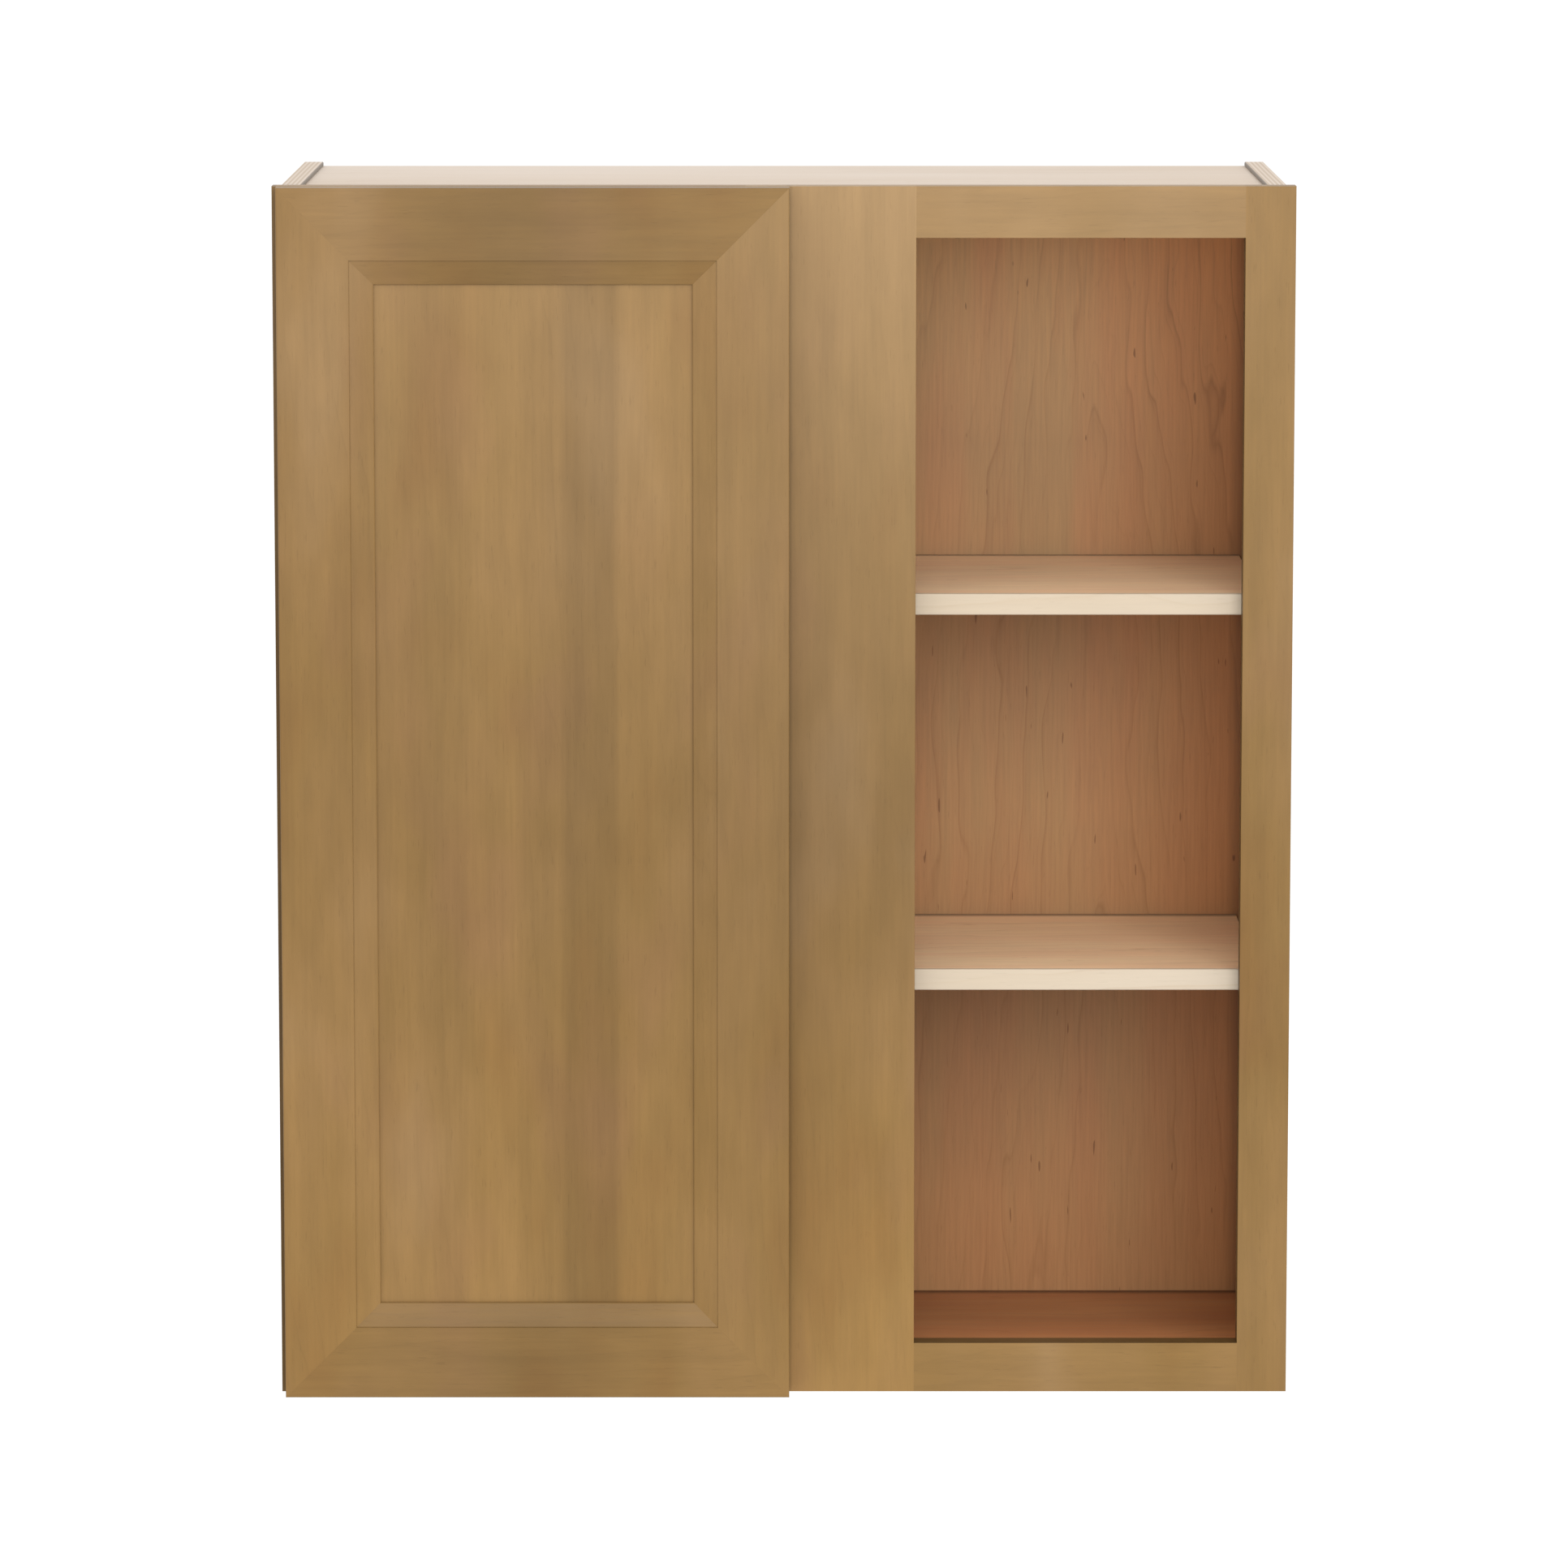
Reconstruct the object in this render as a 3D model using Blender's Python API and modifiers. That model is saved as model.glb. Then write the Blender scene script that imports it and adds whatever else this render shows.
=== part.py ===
"""Blind-corner hanging wall cabinet: a face frame on a plywood box, a mitred
recessed-panel door on concealed hinges, and two adjustable shelves.

Frame of the part: origin on the wall at the middle of the upper hanging rail's
rear face, +X to the cabinet's right, +Y into the wall, +Z up, metres.
"""
import math

import bmesh
import bpy
from mathutils import Matrix, Vector

# ---------------------------------------------------------------- driving dimensions
WIDTH = 0.762                # face frame, edge to edge
HEIGHT = 0.9144              # face frame and box
DEPTH = 0.3048               # wall to the front of the face frame
GAP = 0.0003                 # clearance between pieces that touch
EASE = 0.0006                # eased edges of the wooden pieces

FRAME_T = 0.01905            # face frame
STILE_W = 0.0375
MID_STILE_W = 0.127
MID_STILE_RIGHT = 0.4795     # from the frame's left edge
TOP_RAIL_H = 0.0385
BOTTOM_RAIL_H = 0.0375
FRAME_GROOVE = 0.003         # groove in the stiles' backs that takes the sides

PLY_T = 0.015                # sides, top and bottom
SIDE_INSET = 0.006           # side's outer face in from the frame's edge
PANEL_RECESS = 0.0032        # top and bottom panels in from the sides' ends
DADO = 0.0045                # dados that take the top and bottom panels
BACK_T = 0.0045
BACK_GROOVE = 0.004
HANG_RAIL_T = 0.0095
HANG_RAIL_H = 0.064

SHELF_T = 0.016
SHELF_END_CLEAR = 0.003
SHELF_FRONT_CLEAR = 0.0012
SHELF_BACK_CLEAR = 0.0015
NOSING_D = 0.003             # strip on the shelf's front edge
LOWER_SHELF_TOP = 0.32155    # above the cabinet's bottom
HOLE_PITCH = 0.03175
HOLES_BETWEEN_SHELVES = 9
HOLES_BEYOND = 2
PIN_INSET = 0.037            # hole column from the frame's back and from the back panel
PIN_R = 0.0025
PIN_DEPTH = 0.008
PIN_COLLAR_R = 0.0038
PIN_COLLAR_T = 0.0012
SPOON_W = 0.008
SPOON_T = 0.0025
SPOON_L = 0.0095

DOOR_W = 0.381
DOOR_T = 0.019
DOOR_GAP = 0.003             # door's back to the frame's front
DOOR_LEFT = 0.004            # door's left edge in from the frame's
DOOR_FLAT = 0.054            # flat face of the door's stiles and rails
DOOR_MEMBER = 0.072          # the same with the bevel
BEVEL_TOP = 0.0012           # depth of the bevel at its outer edge
BEVEL_FOOT = 0.0058          # and at the panel
DOOR_PANEL_FRONT = 0.0078
DOOR_PANEL_T = 0.006
DOOR_GROOVE = 0.010
PANEL_FLOAT = 0.0025         # room for the panel to move in its groove

HINGE_FROM_END = 0.089
PIVOT_IN = 0.007             # pivot from the door's left edge
PIVOT_DEEP = 0.0085          # pivot in from the door's back
CUP_IN = 0.0205              # cup's centre from the door's left edge
CUP_R = 0.0175
CUP_DEPTH = 0.012
CUP_WALL = 0.0008
FLANGE_R = 0.0186
FLANGE_T = 0.001
HINGE_PIN_R = 0.001
HINGE_PIN_L = 0.0150
KNUCKLE_R = 0.0023
ARM_T = 0.0016
ARM_H = 0.008
LEG_H = 0.046
LEG_SCREW_SPAN = 0.030
CUP_SCREW_SPAN = 0.045
CUP_SCREW_OFFSET = 0.0095
SCREW_R = 0.00175
SCREW_L = 0.013
SCREW_HEAD_R = 0.0032
SCREW_HEAD_T = 0.0009
BUMPER_R = 0.004
BUMPER_T = DOOR_GAP - 2 * GAP

# ------------------------------------------------------------------- derived places
LEFT = -WIDTH / 2
RIGHT = WIDTH / 2
FRONT = -DEPTH                                   # front of the face frame
BOX_FRONT = FRONT + FRAME_T                      # back of the face frame
TOP = PANEL_RECESS + PLY_T + GAP + HANG_RAIL_H / 2
BOTTOM = TOP - HEIGHT
SIDE_OUT = WIDTH / 2 - SIDE_INSET
SIDE_IN = SIDE_OUT - PLY_T
CEILING = TOP - PANEL_RECESS - PLY_T             # underside of the top panel
FLOOR = BOTTOM + PANEL_RECESS + PLY_T            # top of the bottom panel
BACK_REAR = -HANG_RAIL_T - GAP
BACK_FRONT = BACK_REAR - BACK_T
DOOR_OPEN_LEFT = LEFT + STILE_W
MID_RIGHT = LEFT + MID_STILE_RIGHT
MID_LEFT = MID_RIGHT - MID_STILE_W
BLIND_OPEN_RIGHT = RIGHT - STILE_W
RAIL_TOP = BOTTOM + BOTTOM_RAIL_H                # top of the bottom rails
RAIL_UNDER = TOP - TOP_RAIL_H                    # underside of the top rails
SHELF_TOPS = (BOTTOM + LOWER_SHELF_TOP,
              BOTTOM + LOWER_SHELF_TOP + HOLES_BETWEEN_SHELVES * HOLE_PITCH)
PIN_Z_BELOW = SHELF_T + GAP + SPOON_T / 2        # pin's middle under a shelf's top
PIN_YS = (BOX_FRONT + PIN_INSET, BACK_FRONT - PIN_INSET)
DOOR_BACK = FRONT - DOOR_GAP
DOOR_FRONT = DOOR_BACK - DOOR_T
DOOR_X0 = LEFT + DOOR_LEFT
DOOR_X1 = DOOR_X0 + DOOR_W
DOOR_MID_Z = (TOP + BOTTOM) / 2
PIVOT = Vector((DOOR_X0 + PIVOT_IN, DOOR_BACK - PIVOT_DEEP, DOOR_MID_Z))
CUP_X = DOOR_X0 + CUP_IN
HINGE_ZS = {"upper": TOP - HINGE_FROM_END, "lower": BOTTOM + HINGE_FROM_END}
LEG_X0 = DOOR_OPEN_LEFT + GAP                    # leg lies on the stile's inner edge
LEG_Y0 = FRONT + 0.0006
LEG_Y1 = BOX_FRONT - 0.0010
LEG_SCREW_Y = (LEG_Y0 + LEG_Y1) / 2

# ------------------------------------------------------------------------ materials
MATERIALS = {                # linear base colour, roughness, metallic
    "stained_maple": ((0.352, 0.223, 0.096), 0.42, 0.0),
    "maple_ply": ((0.450, 0.290, 0.170), 0.50, 0.0),
    "pale_edge": ((0.760, 0.640, 0.500), 0.55, 0.0),
    "nickel": ((0.560, 0.550, 0.530), 0.28, 1.0),
    "zinc_screw": ((0.480, 0.480, 0.470), 0.35, 1.0),
    "clear_rubber": ((0.700, 0.700, 0.680), 0.30, 0.0),
}


def material(name):
    """The named material, made on first use."""
    found = bpy.data.materials.get(name)
    if found:
        return found
    colour, roughness, metallic = MATERIALS[name]
    made = bpy.data.materials.new(name)
    made.use_nodes = True
    shader = made.node_tree.nodes["Principled BSDF"]
    shader.inputs["Base Color"].default_value = (*colour, 1.0)
    shader.inputs["Roughness"].default_value = roughness
    shader.inputs["Metallic"].default_value = metallic
    made.diffuse_color = (*colour, 1.0)
    return made


def clear_scene():
    for obj in list(bpy.data.objects):
        bpy.data.objects.remove(obj, do_unlink=True)


def new_collection(name):
    made = bpy.data.collections.new(name)
    bpy.context.scene.collection.children.link(made)
    return made


clear_scene()
PARTS = new_collection("hanging_wall_cabinet")
CUTTERS = new_collection("cutters")


# ---------------------------------------------------------------------- shape tools
def add_object(name, mesh, finish, parent=None):
    """Puts a mesh in the scene as a piece, or as a cutter when finish is None."""
    obj = bpy.data.objects.new(name, mesh)
    if finish is None:
        CUTTERS.objects.link(obj)
        obj.hide_render = True
        obj.display_type = "WIRE"
    else:
        PARTS.objects.link(obj)
        obj.data.materials.append(material(finish))
    if parent:
        obj.parent = parent
        obj.matrix_parent_inverse = Matrix.Translation(-parent.location)
    return obj


def box(name, low, high, finish=None, ease=0.0, parent=None):
    """A box between two corners, its edges eased by a small chamfer."""
    low, high = Vector(low), Vector(high)
    mesh = bpy.data.meshes.new(name)
    bm = bmesh.new()
    bmesh.ops.create_cube(bm, size=1.0, matrix=Matrix.Diagonal((*(high - low), 1.0)))
    bm.to_mesh(mesh)
    bm.free()
    obj = add_object(name, mesh, finish, parent)
    obj.location = (low + high) / 2
    if ease:
        bevel = obj.modifiers.new("eased_edges", "BEVEL")
        bevel.width = ease
        bevel.segments = 1
    return obj


def cylinder_mesh(name, radius, length, segments=24):
    """A cylinder along +Z, centred."""
    mesh = bpy.data.meshes.new(name)
    bm = bmesh.new()
    bmesh.ops.create_cone(bm, cap_ends=True, segments=segments, radius1=radius,
                          radius2=radius, depth=length)
    bm.to_mesh(mesh)
    bm.free()
    return mesh


AXIS_TURN = {"x": (0.0, math.pi / 2, 0.0), "y": (-math.pi / 2, 0.0, 0.0), "z": (0.0, 0.0, 0.0)}


def cylinder(name, radius, start, length, axis, finish=None, parent=None, segments=24):
    """A cylinder that starts at a point and runs along +axis."""
    obj = add_object(name, cylinder_mesh(name, radius, length, segments), finish, parent)
    obj.rotation_euler = AXIS_TURN[axis]
    obj.location = Vector(start)
    obj.location["xyz".index(axis)] += length / 2
    return obj


def turned(name, profile, finish=None, parent=None, steps=32):
    """A profile of (radius, height) points, from the axis at the top, down its
    outer side and back to the axis, turned about Z."""
    mesh = bpy.data.meshes.new(name)
    points = [(radius, 0.0, height) for radius, height in profile]
    mesh.from_pydata(points, [(i, i + 1) for i in range(len(points) - 1)], [])
    obj = add_object(name, mesh, finish, parent)
    screw = obj.modifiers.new("turn", "SCREW")
    screw.steps = steps
    screw.render_steps = steps
    screw.use_merge_vertices = True
    screw.merge_threshold = 0.00001
    return obj


def flat_outline(name, outline, thickness, finish=None, parent=None):
    """A closed outline of (x, y) points as a slab centred on its own XY plane."""
    curve = bpy.data.curves.new(name, "CURVE")
    curve.dimensions = "2D"
    curve.fill_mode = "BOTH"
    curve.extrude = thickness / 2
    spline = curve.splines.new("POLY")
    spline.points.add(len(outline) - 1)
    for point, (x, y) in zip(spline.points, outline):
        point.co = (x, y, 0.0, 1.0)
    spline.use_cyclic_u = True
    drawn = bpy.data.objects.new(name + "_outline", curve)
    CUTTERS.objects.link(drawn)
    evaluated = drawn.evaluated_get(bpy.context.evaluated_depsgraph_get())
    mesh = bpy.data.meshes.new_from_object(evaluated)
    bpy.data.objects.remove(drawn, do_unlink=True)
    bm = bmesh.new()
    bm.from_mesh(mesh)
    bmesh.ops.remove_doubles(bm, verts=bm.verts, dist=0.00001)
    bmesh.ops.recalc_face_normals(bm, faces=bm.faces)
    bm.to_mesh(mesh)
    bm.free()
    mesh.materials.clear()
    return add_object(name, mesh, finish, parent)


def boolean(target, tool, operation="DIFFERENCE"):
    modifier = target.modifiers.new(operation.lower(), "BOOLEAN")
    modifier.operation = operation
    modifier.solver = "EXACT"
    modifier.object = tool


def joined_mesh(name, meshes_at):
    """Several meshes, each with its matrix, as one cutter."""
    bm = bmesh.new()
    for mesh, matrix in meshes_at:
        start = len(bm.verts)
        bm.from_mesh(mesh)
        bm.verts.ensure_lookup_table()
        bmesh.ops.transform(bm, matrix=matrix, verts=bm.verts[start:])
    made = bpy.data.meshes.new(name)
    bm.to_mesh(made)
    bm.free()
    return add_object(name, made, None)


# ----------------------------------------------------------------------- face frame
def side_groove(name, sign):
    """Cutter for the groove in a stile's back, or for the space of a side's tongue."""
    outer, inner = sign * (SIDE_OUT + GAP), sign * (SIDE_IN - GAP)
    return box(name, (min(outer, inner), BOX_FRONT - FRAME_GROOVE, BOTTOM - 0.01),
               (max(outer, inner), BOX_FRONT + 0.01, TOP + 0.01))


def pilot_hole(name, start, length, axis):
    return cylinder(name, SCREW_R + GAP, start, length, axis, segments=16)


def face_frame():
    left = box("left_stile", (LEFT, FRONT, BOTTOM), (DOOR_OPEN_LEFT, BOX_FRONT, TOP),
               "stained_maple", EASE)
    box("mid_stile", (MID_LEFT, FRONT, BOTTOM), (MID_RIGHT, BOX_FRONT, TOP),
        "stained_maple", EASE)
    right = box("right_stile", (BLIND_OPEN_RIGHT, FRONT, BOTTOM), (RIGHT, BOX_FRONT, TOP),
                "stained_maple", EASE)
    boolean(left, side_groove("left_stile_groove", -1))
    boolean(right, side_groove("right_stile_groove", 1))
    for place, hinge_z in HINGE_ZS.items():
        for step in (-1, 1):
            start = (DOOR_OPEN_LEFT - SCREW_L - GAP, LEG_SCREW_Y,
                     hinge_z + step * LEG_SCREW_SPAN / 2)
            boolean(left, pilot_hole(f"stile_pilot_{place}_{step}", start, 0.03, "x"))
    bays = {"door_bay": (DOOR_OPEN_LEFT, MID_LEFT), "blind_bay": (MID_RIGHT, BLIND_OPEN_RIGHT)}
    for bay, (x0, x1) in bays.items():
        box(f"{bay}_top_rail", (x0 + GAP, FRONT, RAIL_UNDER), (x1 - GAP, BOX_FRONT, TOP),
            "stained_maple", EASE)
        box(f"{bay}_bottom_rail", (x0 + GAP, FRONT, BOTTOM), (x1 - GAP, BOX_FRONT, RAIL_TOP),
            "stained_maple", EASE)


# ------------------------------------------------------------------------------ box
def dado(name, sign, low_z, high_z):
    """Cutter for the dado that takes a horizontal panel's end."""
    x0, x1 = sorted((sign * (SIDE_IN - 0.01), sign * (SIDE_IN + DADO)))
    return box(name, (x0, BOX_FRONT - 0.01, low_z - GAP), (x1, 0.01, high_z + GAP))


def pin_holes(name, sign):
    """Cutter for both columns of shelf-pin holes in one side."""
    depth = PIN_DEPTH + 2 * GAP
    mesh = cylinder_mesh(name + "_hole", PIN_R + GAP, 2 * depth, 12)
    rows = range(-HOLES_BEYOND, HOLES_BETWEEN_SHELVES + HOLES_BEYOND + 1)
    turn = Matrix.Rotation(math.pi / 2, 4, "Y")
    places = [Matrix.Translation((sign * SIDE_IN, y,
                                  SHELF_TOPS[0] - PIN_Z_BELOW + row * HOLE_PITCH)) @ turn
              for y in PIN_YS for row in rows]
    return joined_mesh(name, [(mesh, place) for place in places])


def side_panel(name, sign):
    """One plywood side, with its dados, back groove and shelf-pin holes."""
    x0, x1 = sorted((sign * SIDE_IN, sign * SIDE_OUT))
    side = box(name, (x0, BOX_FRONT - FRAME_GROOVE + GAP, BOTTOM), (x1, 0.0, TOP),
               "maple_ply", EASE)
    boolean(side, dado(name + "_top_dado", sign, CEILING, CEILING + PLY_T))
    boolean(side, dado(name + "_bottom_dado", sign, FLOOR - PLY_T, FLOOR))
    gx0, gx1 = sorted((sign * (SIDE_IN - 0.01), sign * (SIDE_IN + BACK_GROOVE)))
    boolean(side, box(name + "_back_groove", (gx0, BACK_FRONT - GAP, FLOOR - PLY_T / 2),
                      (gx1, BACK_REAR + GAP, CEILING + PLY_T / 2)))
    boolean(side, pin_holes(name + "_pin_holes", sign))


def horizontal_panel(name, low_z, groove_low, groove_high):
    """The top or bottom panel, with the groove that takes the back panel."""
    half = SIDE_IN + DADO - GAP
    panel = box(name, (-half, BOX_FRONT + GAP, low_z), (half, 0.0, low_z + PLY_T), "maple_ply")
    boolean(panel, box(name + "_back_groove", (-WIDTH, BACK_FRONT - GAP, groove_low),
                       (WIDTH, BACK_REAR + GAP, groove_high)))


def cabinet_box():
    side_panel("left_side", -1)
    side_panel("right_side", 1)
    horizontal_panel("top_panel", CEILING, CEILING - 0.01, CEILING + BACK_GROOVE)
    horizontal_panel("bottom_panel", FLOOR - PLY_T, FLOOR - BACK_GROOVE, FLOOR + 0.01)
    reach = BACK_GROOVE - GAP
    box("back_panel", (-SIDE_IN - reach, BACK_FRONT, FLOOR - reach),
        (SIDE_IN + reach, BACK_REAR, CEILING + reach), "maple_ply")
    rail_half = SIDE_IN - GAP
    rail_zs = {"upper": CEILING - GAP - HANG_RAIL_H, "lower": FLOOR + GAP}
    for place, low_z in rail_zs.items():
        box(f"{place}_hanging_rail", (-rail_half, -HANG_RAIL_T, low_z),
            (rail_half, 0.0, low_z + HANG_RAIL_H), "maple_ply", EASE)


# -------------------------------------------------------------------------- shelves
def shelf(name, top_z):
    """A shelf with its solid front strip; both move as one."""
    half = SIDE_IN - SHELF_END_CLEAR
    front = BOX_FRONT + SHELF_FRONT_CLEAR
    board = box(name, (-half, front + NOSING_D + GAP, top_z - SHELF_T),
                (half, BACK_FRONT - SHELF_BACK_CLEAR, top_z), "maple_ply")
    box(f"{name}_nosing", (-half, front, top_z - SHELF_T), (half, front + NOSING_D, top_z),
        "pale_edge", EASE, parent=board)


def shelf_pin(name, sign, y, z):
    """A pin in the side with a collar and a flat spoon under the shelf."""
    start = sign * (SIDE_IN + PIN_DEPTH)
    inner = sign * (SIDE_IN - GAP - PIN_COLLAR_T)
    x0, x1 = sorted((start, inner))
    pin = cylinder(name, PIN_R, (x0, y, z), x1 - x0, "x", "nickel", segments=12)
    c0, c1 = sorted((inner, sign * (SIDE_IN - GAP)))
    collar = cylinder(name + "_collar", PIN_COLLAR_R, (c0, y, z), c1 - c0, "x", segments=20)
    s0, s1 = sorted((sign * (SIDE_IN - GAP - PIN_COLLAR_T / 2), inner - sign * SPOON_L))
    spoon = box(name + "_spoon", (s0, y - SPOON_W / 2, z - SPOON_T / 2),
                (s1, y + SPOON_W / 2, z + SPOON_T / 2))
    boolean(pin, collar, "UNION")
    boolean(pin, spoon, "UNION")


def shelves():
    for place, top_z in zip(("lower", "upper"), SHELF_TOPS):
        shelf(f"shelf_{place}", top_z)
        for side, sign in (("left", -1), ("right", 1)):
            for depth, y in zip(("front", "back"), PIN_YS):
                shelf_pin(f"{place}_pin_{side}_{depth}", sign, y, top_z - PIN_Z_BELOW)


# ----------------------------------------------------------------------------- door
def member_profile():
    """Section of a door stile or rail: (from the outer edge, from the front)."""
    groove_front = DOOR_PANEL_FRONT - GAP
    groove_back = DOOR_PANEL_FRONT + DOOR_PANEL_T + GAP
    return [(0, EASE), (EASE, 0), (DOOR_FLAT, 0), (DOOR_FLAT, BEVEL_TOP),
            (DOOR_MEMBER, BEVEL_FOOT), (DOOR_MEMBER, groove_front),
            (DOOR_MEMBER - DOOR_GROOVE, groove_front), (DOOR_MEMBER - DOOR_GROOVE, groove_back),
            (DOOR_MEMBER, groove_back), (DOOR_MEMBER, DOOR_T), (0, DOOR_T)]


def door_member(name, length, matrix, parent):
    """A moulded length with both ends mitred, placed by a matrix whose X runs
    inward across the member, Y back through the door and Z along it."""
    obj = flat_outline(name, member_profile(), length, "stained_maple", parent)
    mitre_gap = GAP / 2 * math.sqrt(2)
    for vertex in obj.data.vertices:
        reach = length / 2 - vertex.co.x - mitre_gap
        vertex.co.z = math.copysign(reach, vertex.co.z)
    obj.data.transform(matrix.to_3x3().to_4x4())
    obj.location = matrix.translation
    return obj


def member_matrix(edge_middle, inward):
    """Matrix of a member whose outer edge's middle and inward direction are given."""
    back = Vector((0.0, 1.0, 0.0))
    turn = Matrix((inward, back, inward.cross(back))).transposed().to_4x4()
    return Matrix.Translation(edge_middle) @ turn


def door():
    pivot = bpy.data.objects.new("door_pivot", None)
    PARTS.objects.link(pivot)
    pivot.location = PIVOT
    mid_x = (DOOR_X0 + DOOR_X1) / 2
    right, up = Vector((1.0, 0.0, 0.0)), Vector((0.0, 0.0, 1.0))
    y = DOOR_FRONT
    stile_left = door_member("door_left_stile", HEIGHT,
                             member_matrix((DOOR_X0, y, DOOR_MID_Z), right), pivot)
    door_member("door_right_stile", HEIGHT, member_matrix((DOOR_X1, y, DOOR_MID_Z), -right), pivot)
    door_member("door_top_rail", DOOR_W, member_matrix((mid_x, y, TOP), -up), pivot)
    door_member("door_bottom_rail", DOOR_W, member_matrix((mid_x, y, BOTTOM), up), pivot)
    edge = DOOR_MEMBER - DOOR_GROOVE + PANEL_FLOAT
    panel_y = DOOR_FRONT + DOOR_PANEL_FRONT
    box("door_panel", (DOOR_X0 + edge, panel_y, BOTTOM + edge),
        (DOOR_X1 - edge, panel_y + DOOR_PANEL_T, TOP - edge), "stained_maple", parent=pivot)
    bumper_x = DOOR_X1 - 0.012
    for place, z in (("upper", TOP - 0.018), ("lower", BOTTOM + 0.018)):
        cylinder(f"door_bumper_{place}", BUMPER_R, (bumper_x, DOOR_BACK + GAP, z), BUMPER_T,
                 "y", "clear_rubber", pivot, 20)
    return pivot, stile_left


# --------------------------------------------------------------------------- hinges
def screw(name, seat, axis, parent=None):
    """A flat-head screw with its shank towards -axis. seat is the middle of the
    head's underside."""
    tip = list(seat)
    tip["xyz".index(axis)] -= SCREW_L
    shank = cylinder(name, SCREW_R, tip, SCREW_L + SCREW_HEAD_T / 2, axis, "zinc_screw",
                     parent, 16)
    head = cylinder(name + "_head", SCREW_HEAD_R, seat, SCREW_HEAD_T, axis, segments=20)
    boolean(shank, head, "UNION")


def hinge_cup(place, hinge_z, pivot, stile):
    """The cup let into the door, with its screw wings and two lugs for the pin."""
    name = f"hinge_cup_{place}"
    flange_top = GAP + FLANGE_T
    cup = turned(name, [(0, flange_top), (FLANGE_R, flange_top), (FLANGE_R, GAP), (CUP_R, GAP),
                        (CUP_R, -CUP_DEPTH), (0, -CUP_DEPTH)], "nickel", pivot)
    cup.rotation_euler = AXIS_TURN["y"]
    cup.location = (CUP_X, DOOR_BACK, hinge_z)
    wing = box(name + "_wings", (CUP_X - 0.005, DOOR_BACK + 0.0004, hinge_z - 0.0275),
               (CUP_X + 0.0145, DOOR_BACK + 0.0012, hinge_z + 0.0275))
    inner_floor = DOOR_BACK - CUP_DEPTH + CUP_WALL
    hollow = cylinder(name + "_hollow", CUP_R - CUP_WALL, (CUP_X, inner_floor, hinge_z), 0.03,
                      "y", segments=32)
    boolean(cup, wing, "UNION")
    boolean(cup, hollow)
    for step in (-1, 1):
        near, far = ARM_H / 2 + 0.0004, HINGE_PIN_L / 2
        z0, z1 = sorted((hinge_z + step * near, hinge_z + step * far))
        lug = box(f"{name}_lug_{step}", (PIVOT.x - 0.0022, inner_floor - CUP_WALL / 2, z0),
                  (PIVOT.x + 0.0024, PIVOT.y + 0.0022, z1))
        boolean(cup, lug, "UNION")
    boolean(cup, cylinder(name + "_pin_bore", HINGE_PIN_R + GAP,
                          (PIVOT.x, PIVOT.y, hinge_z - 0.02), 0.04, "z", segments=12))
    pin_z = hinge_z - HINGE_PIN_L / 2
    cylinder(f"hinge_pin_{place}", HINGE_PIN_R, (PIVOT.x, PIVOT.y, pin_z), HINGE_PIN_L, "z",
             "nickel", pivot, 12)
    boolean(stile, cylinder(f"{name}_seat", CUP_R + GAP,
                            (CUP_X, DOOR_BACK - CUP_DEPTH - GAP, hinge_z), 0.03, "y",
                            segments=32))
    for end, step in (("top", 1), ("bottom", -1)):
        x, z = CUP_X + CUP_SCREW_OFFSET, hinge_z + step * CUP_SCREW_SPAN / 2
        boolean(cup, pilot_hole(f"{name}_hole_{end}", (x, DOOR_BACK - 0.002, z), 0.01, "y"))
        boolean(stile, pilot_hole(f"{name}_pilot_{end}", (x, DOOR_BACK - SCREW_L, z), 0.03, "y"))
        screw(f"cup_screw_{place}_{end}", (x, DOOR_BACK + flange_top + GAP, z), "y", pivot)


def thick_path(points, thickness):
    """Outline of a strip of even thickness along a path of (x, y) points."""
    left, right = [], []
    for i, point in enumerate(points):
        before = Vector(points[max(i - 1, 0)])
        after = Vector(points[min(i + 1, len(points) - 1)])
        along = (after - before).normalized()
        across = Vector((-along.y, along.x)) * thickness / 2
        left.append(Vector(point) + across)
        right.append(Vector(point) - across)
    return [tuple(p) for p in left + right[::-1]]


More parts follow.
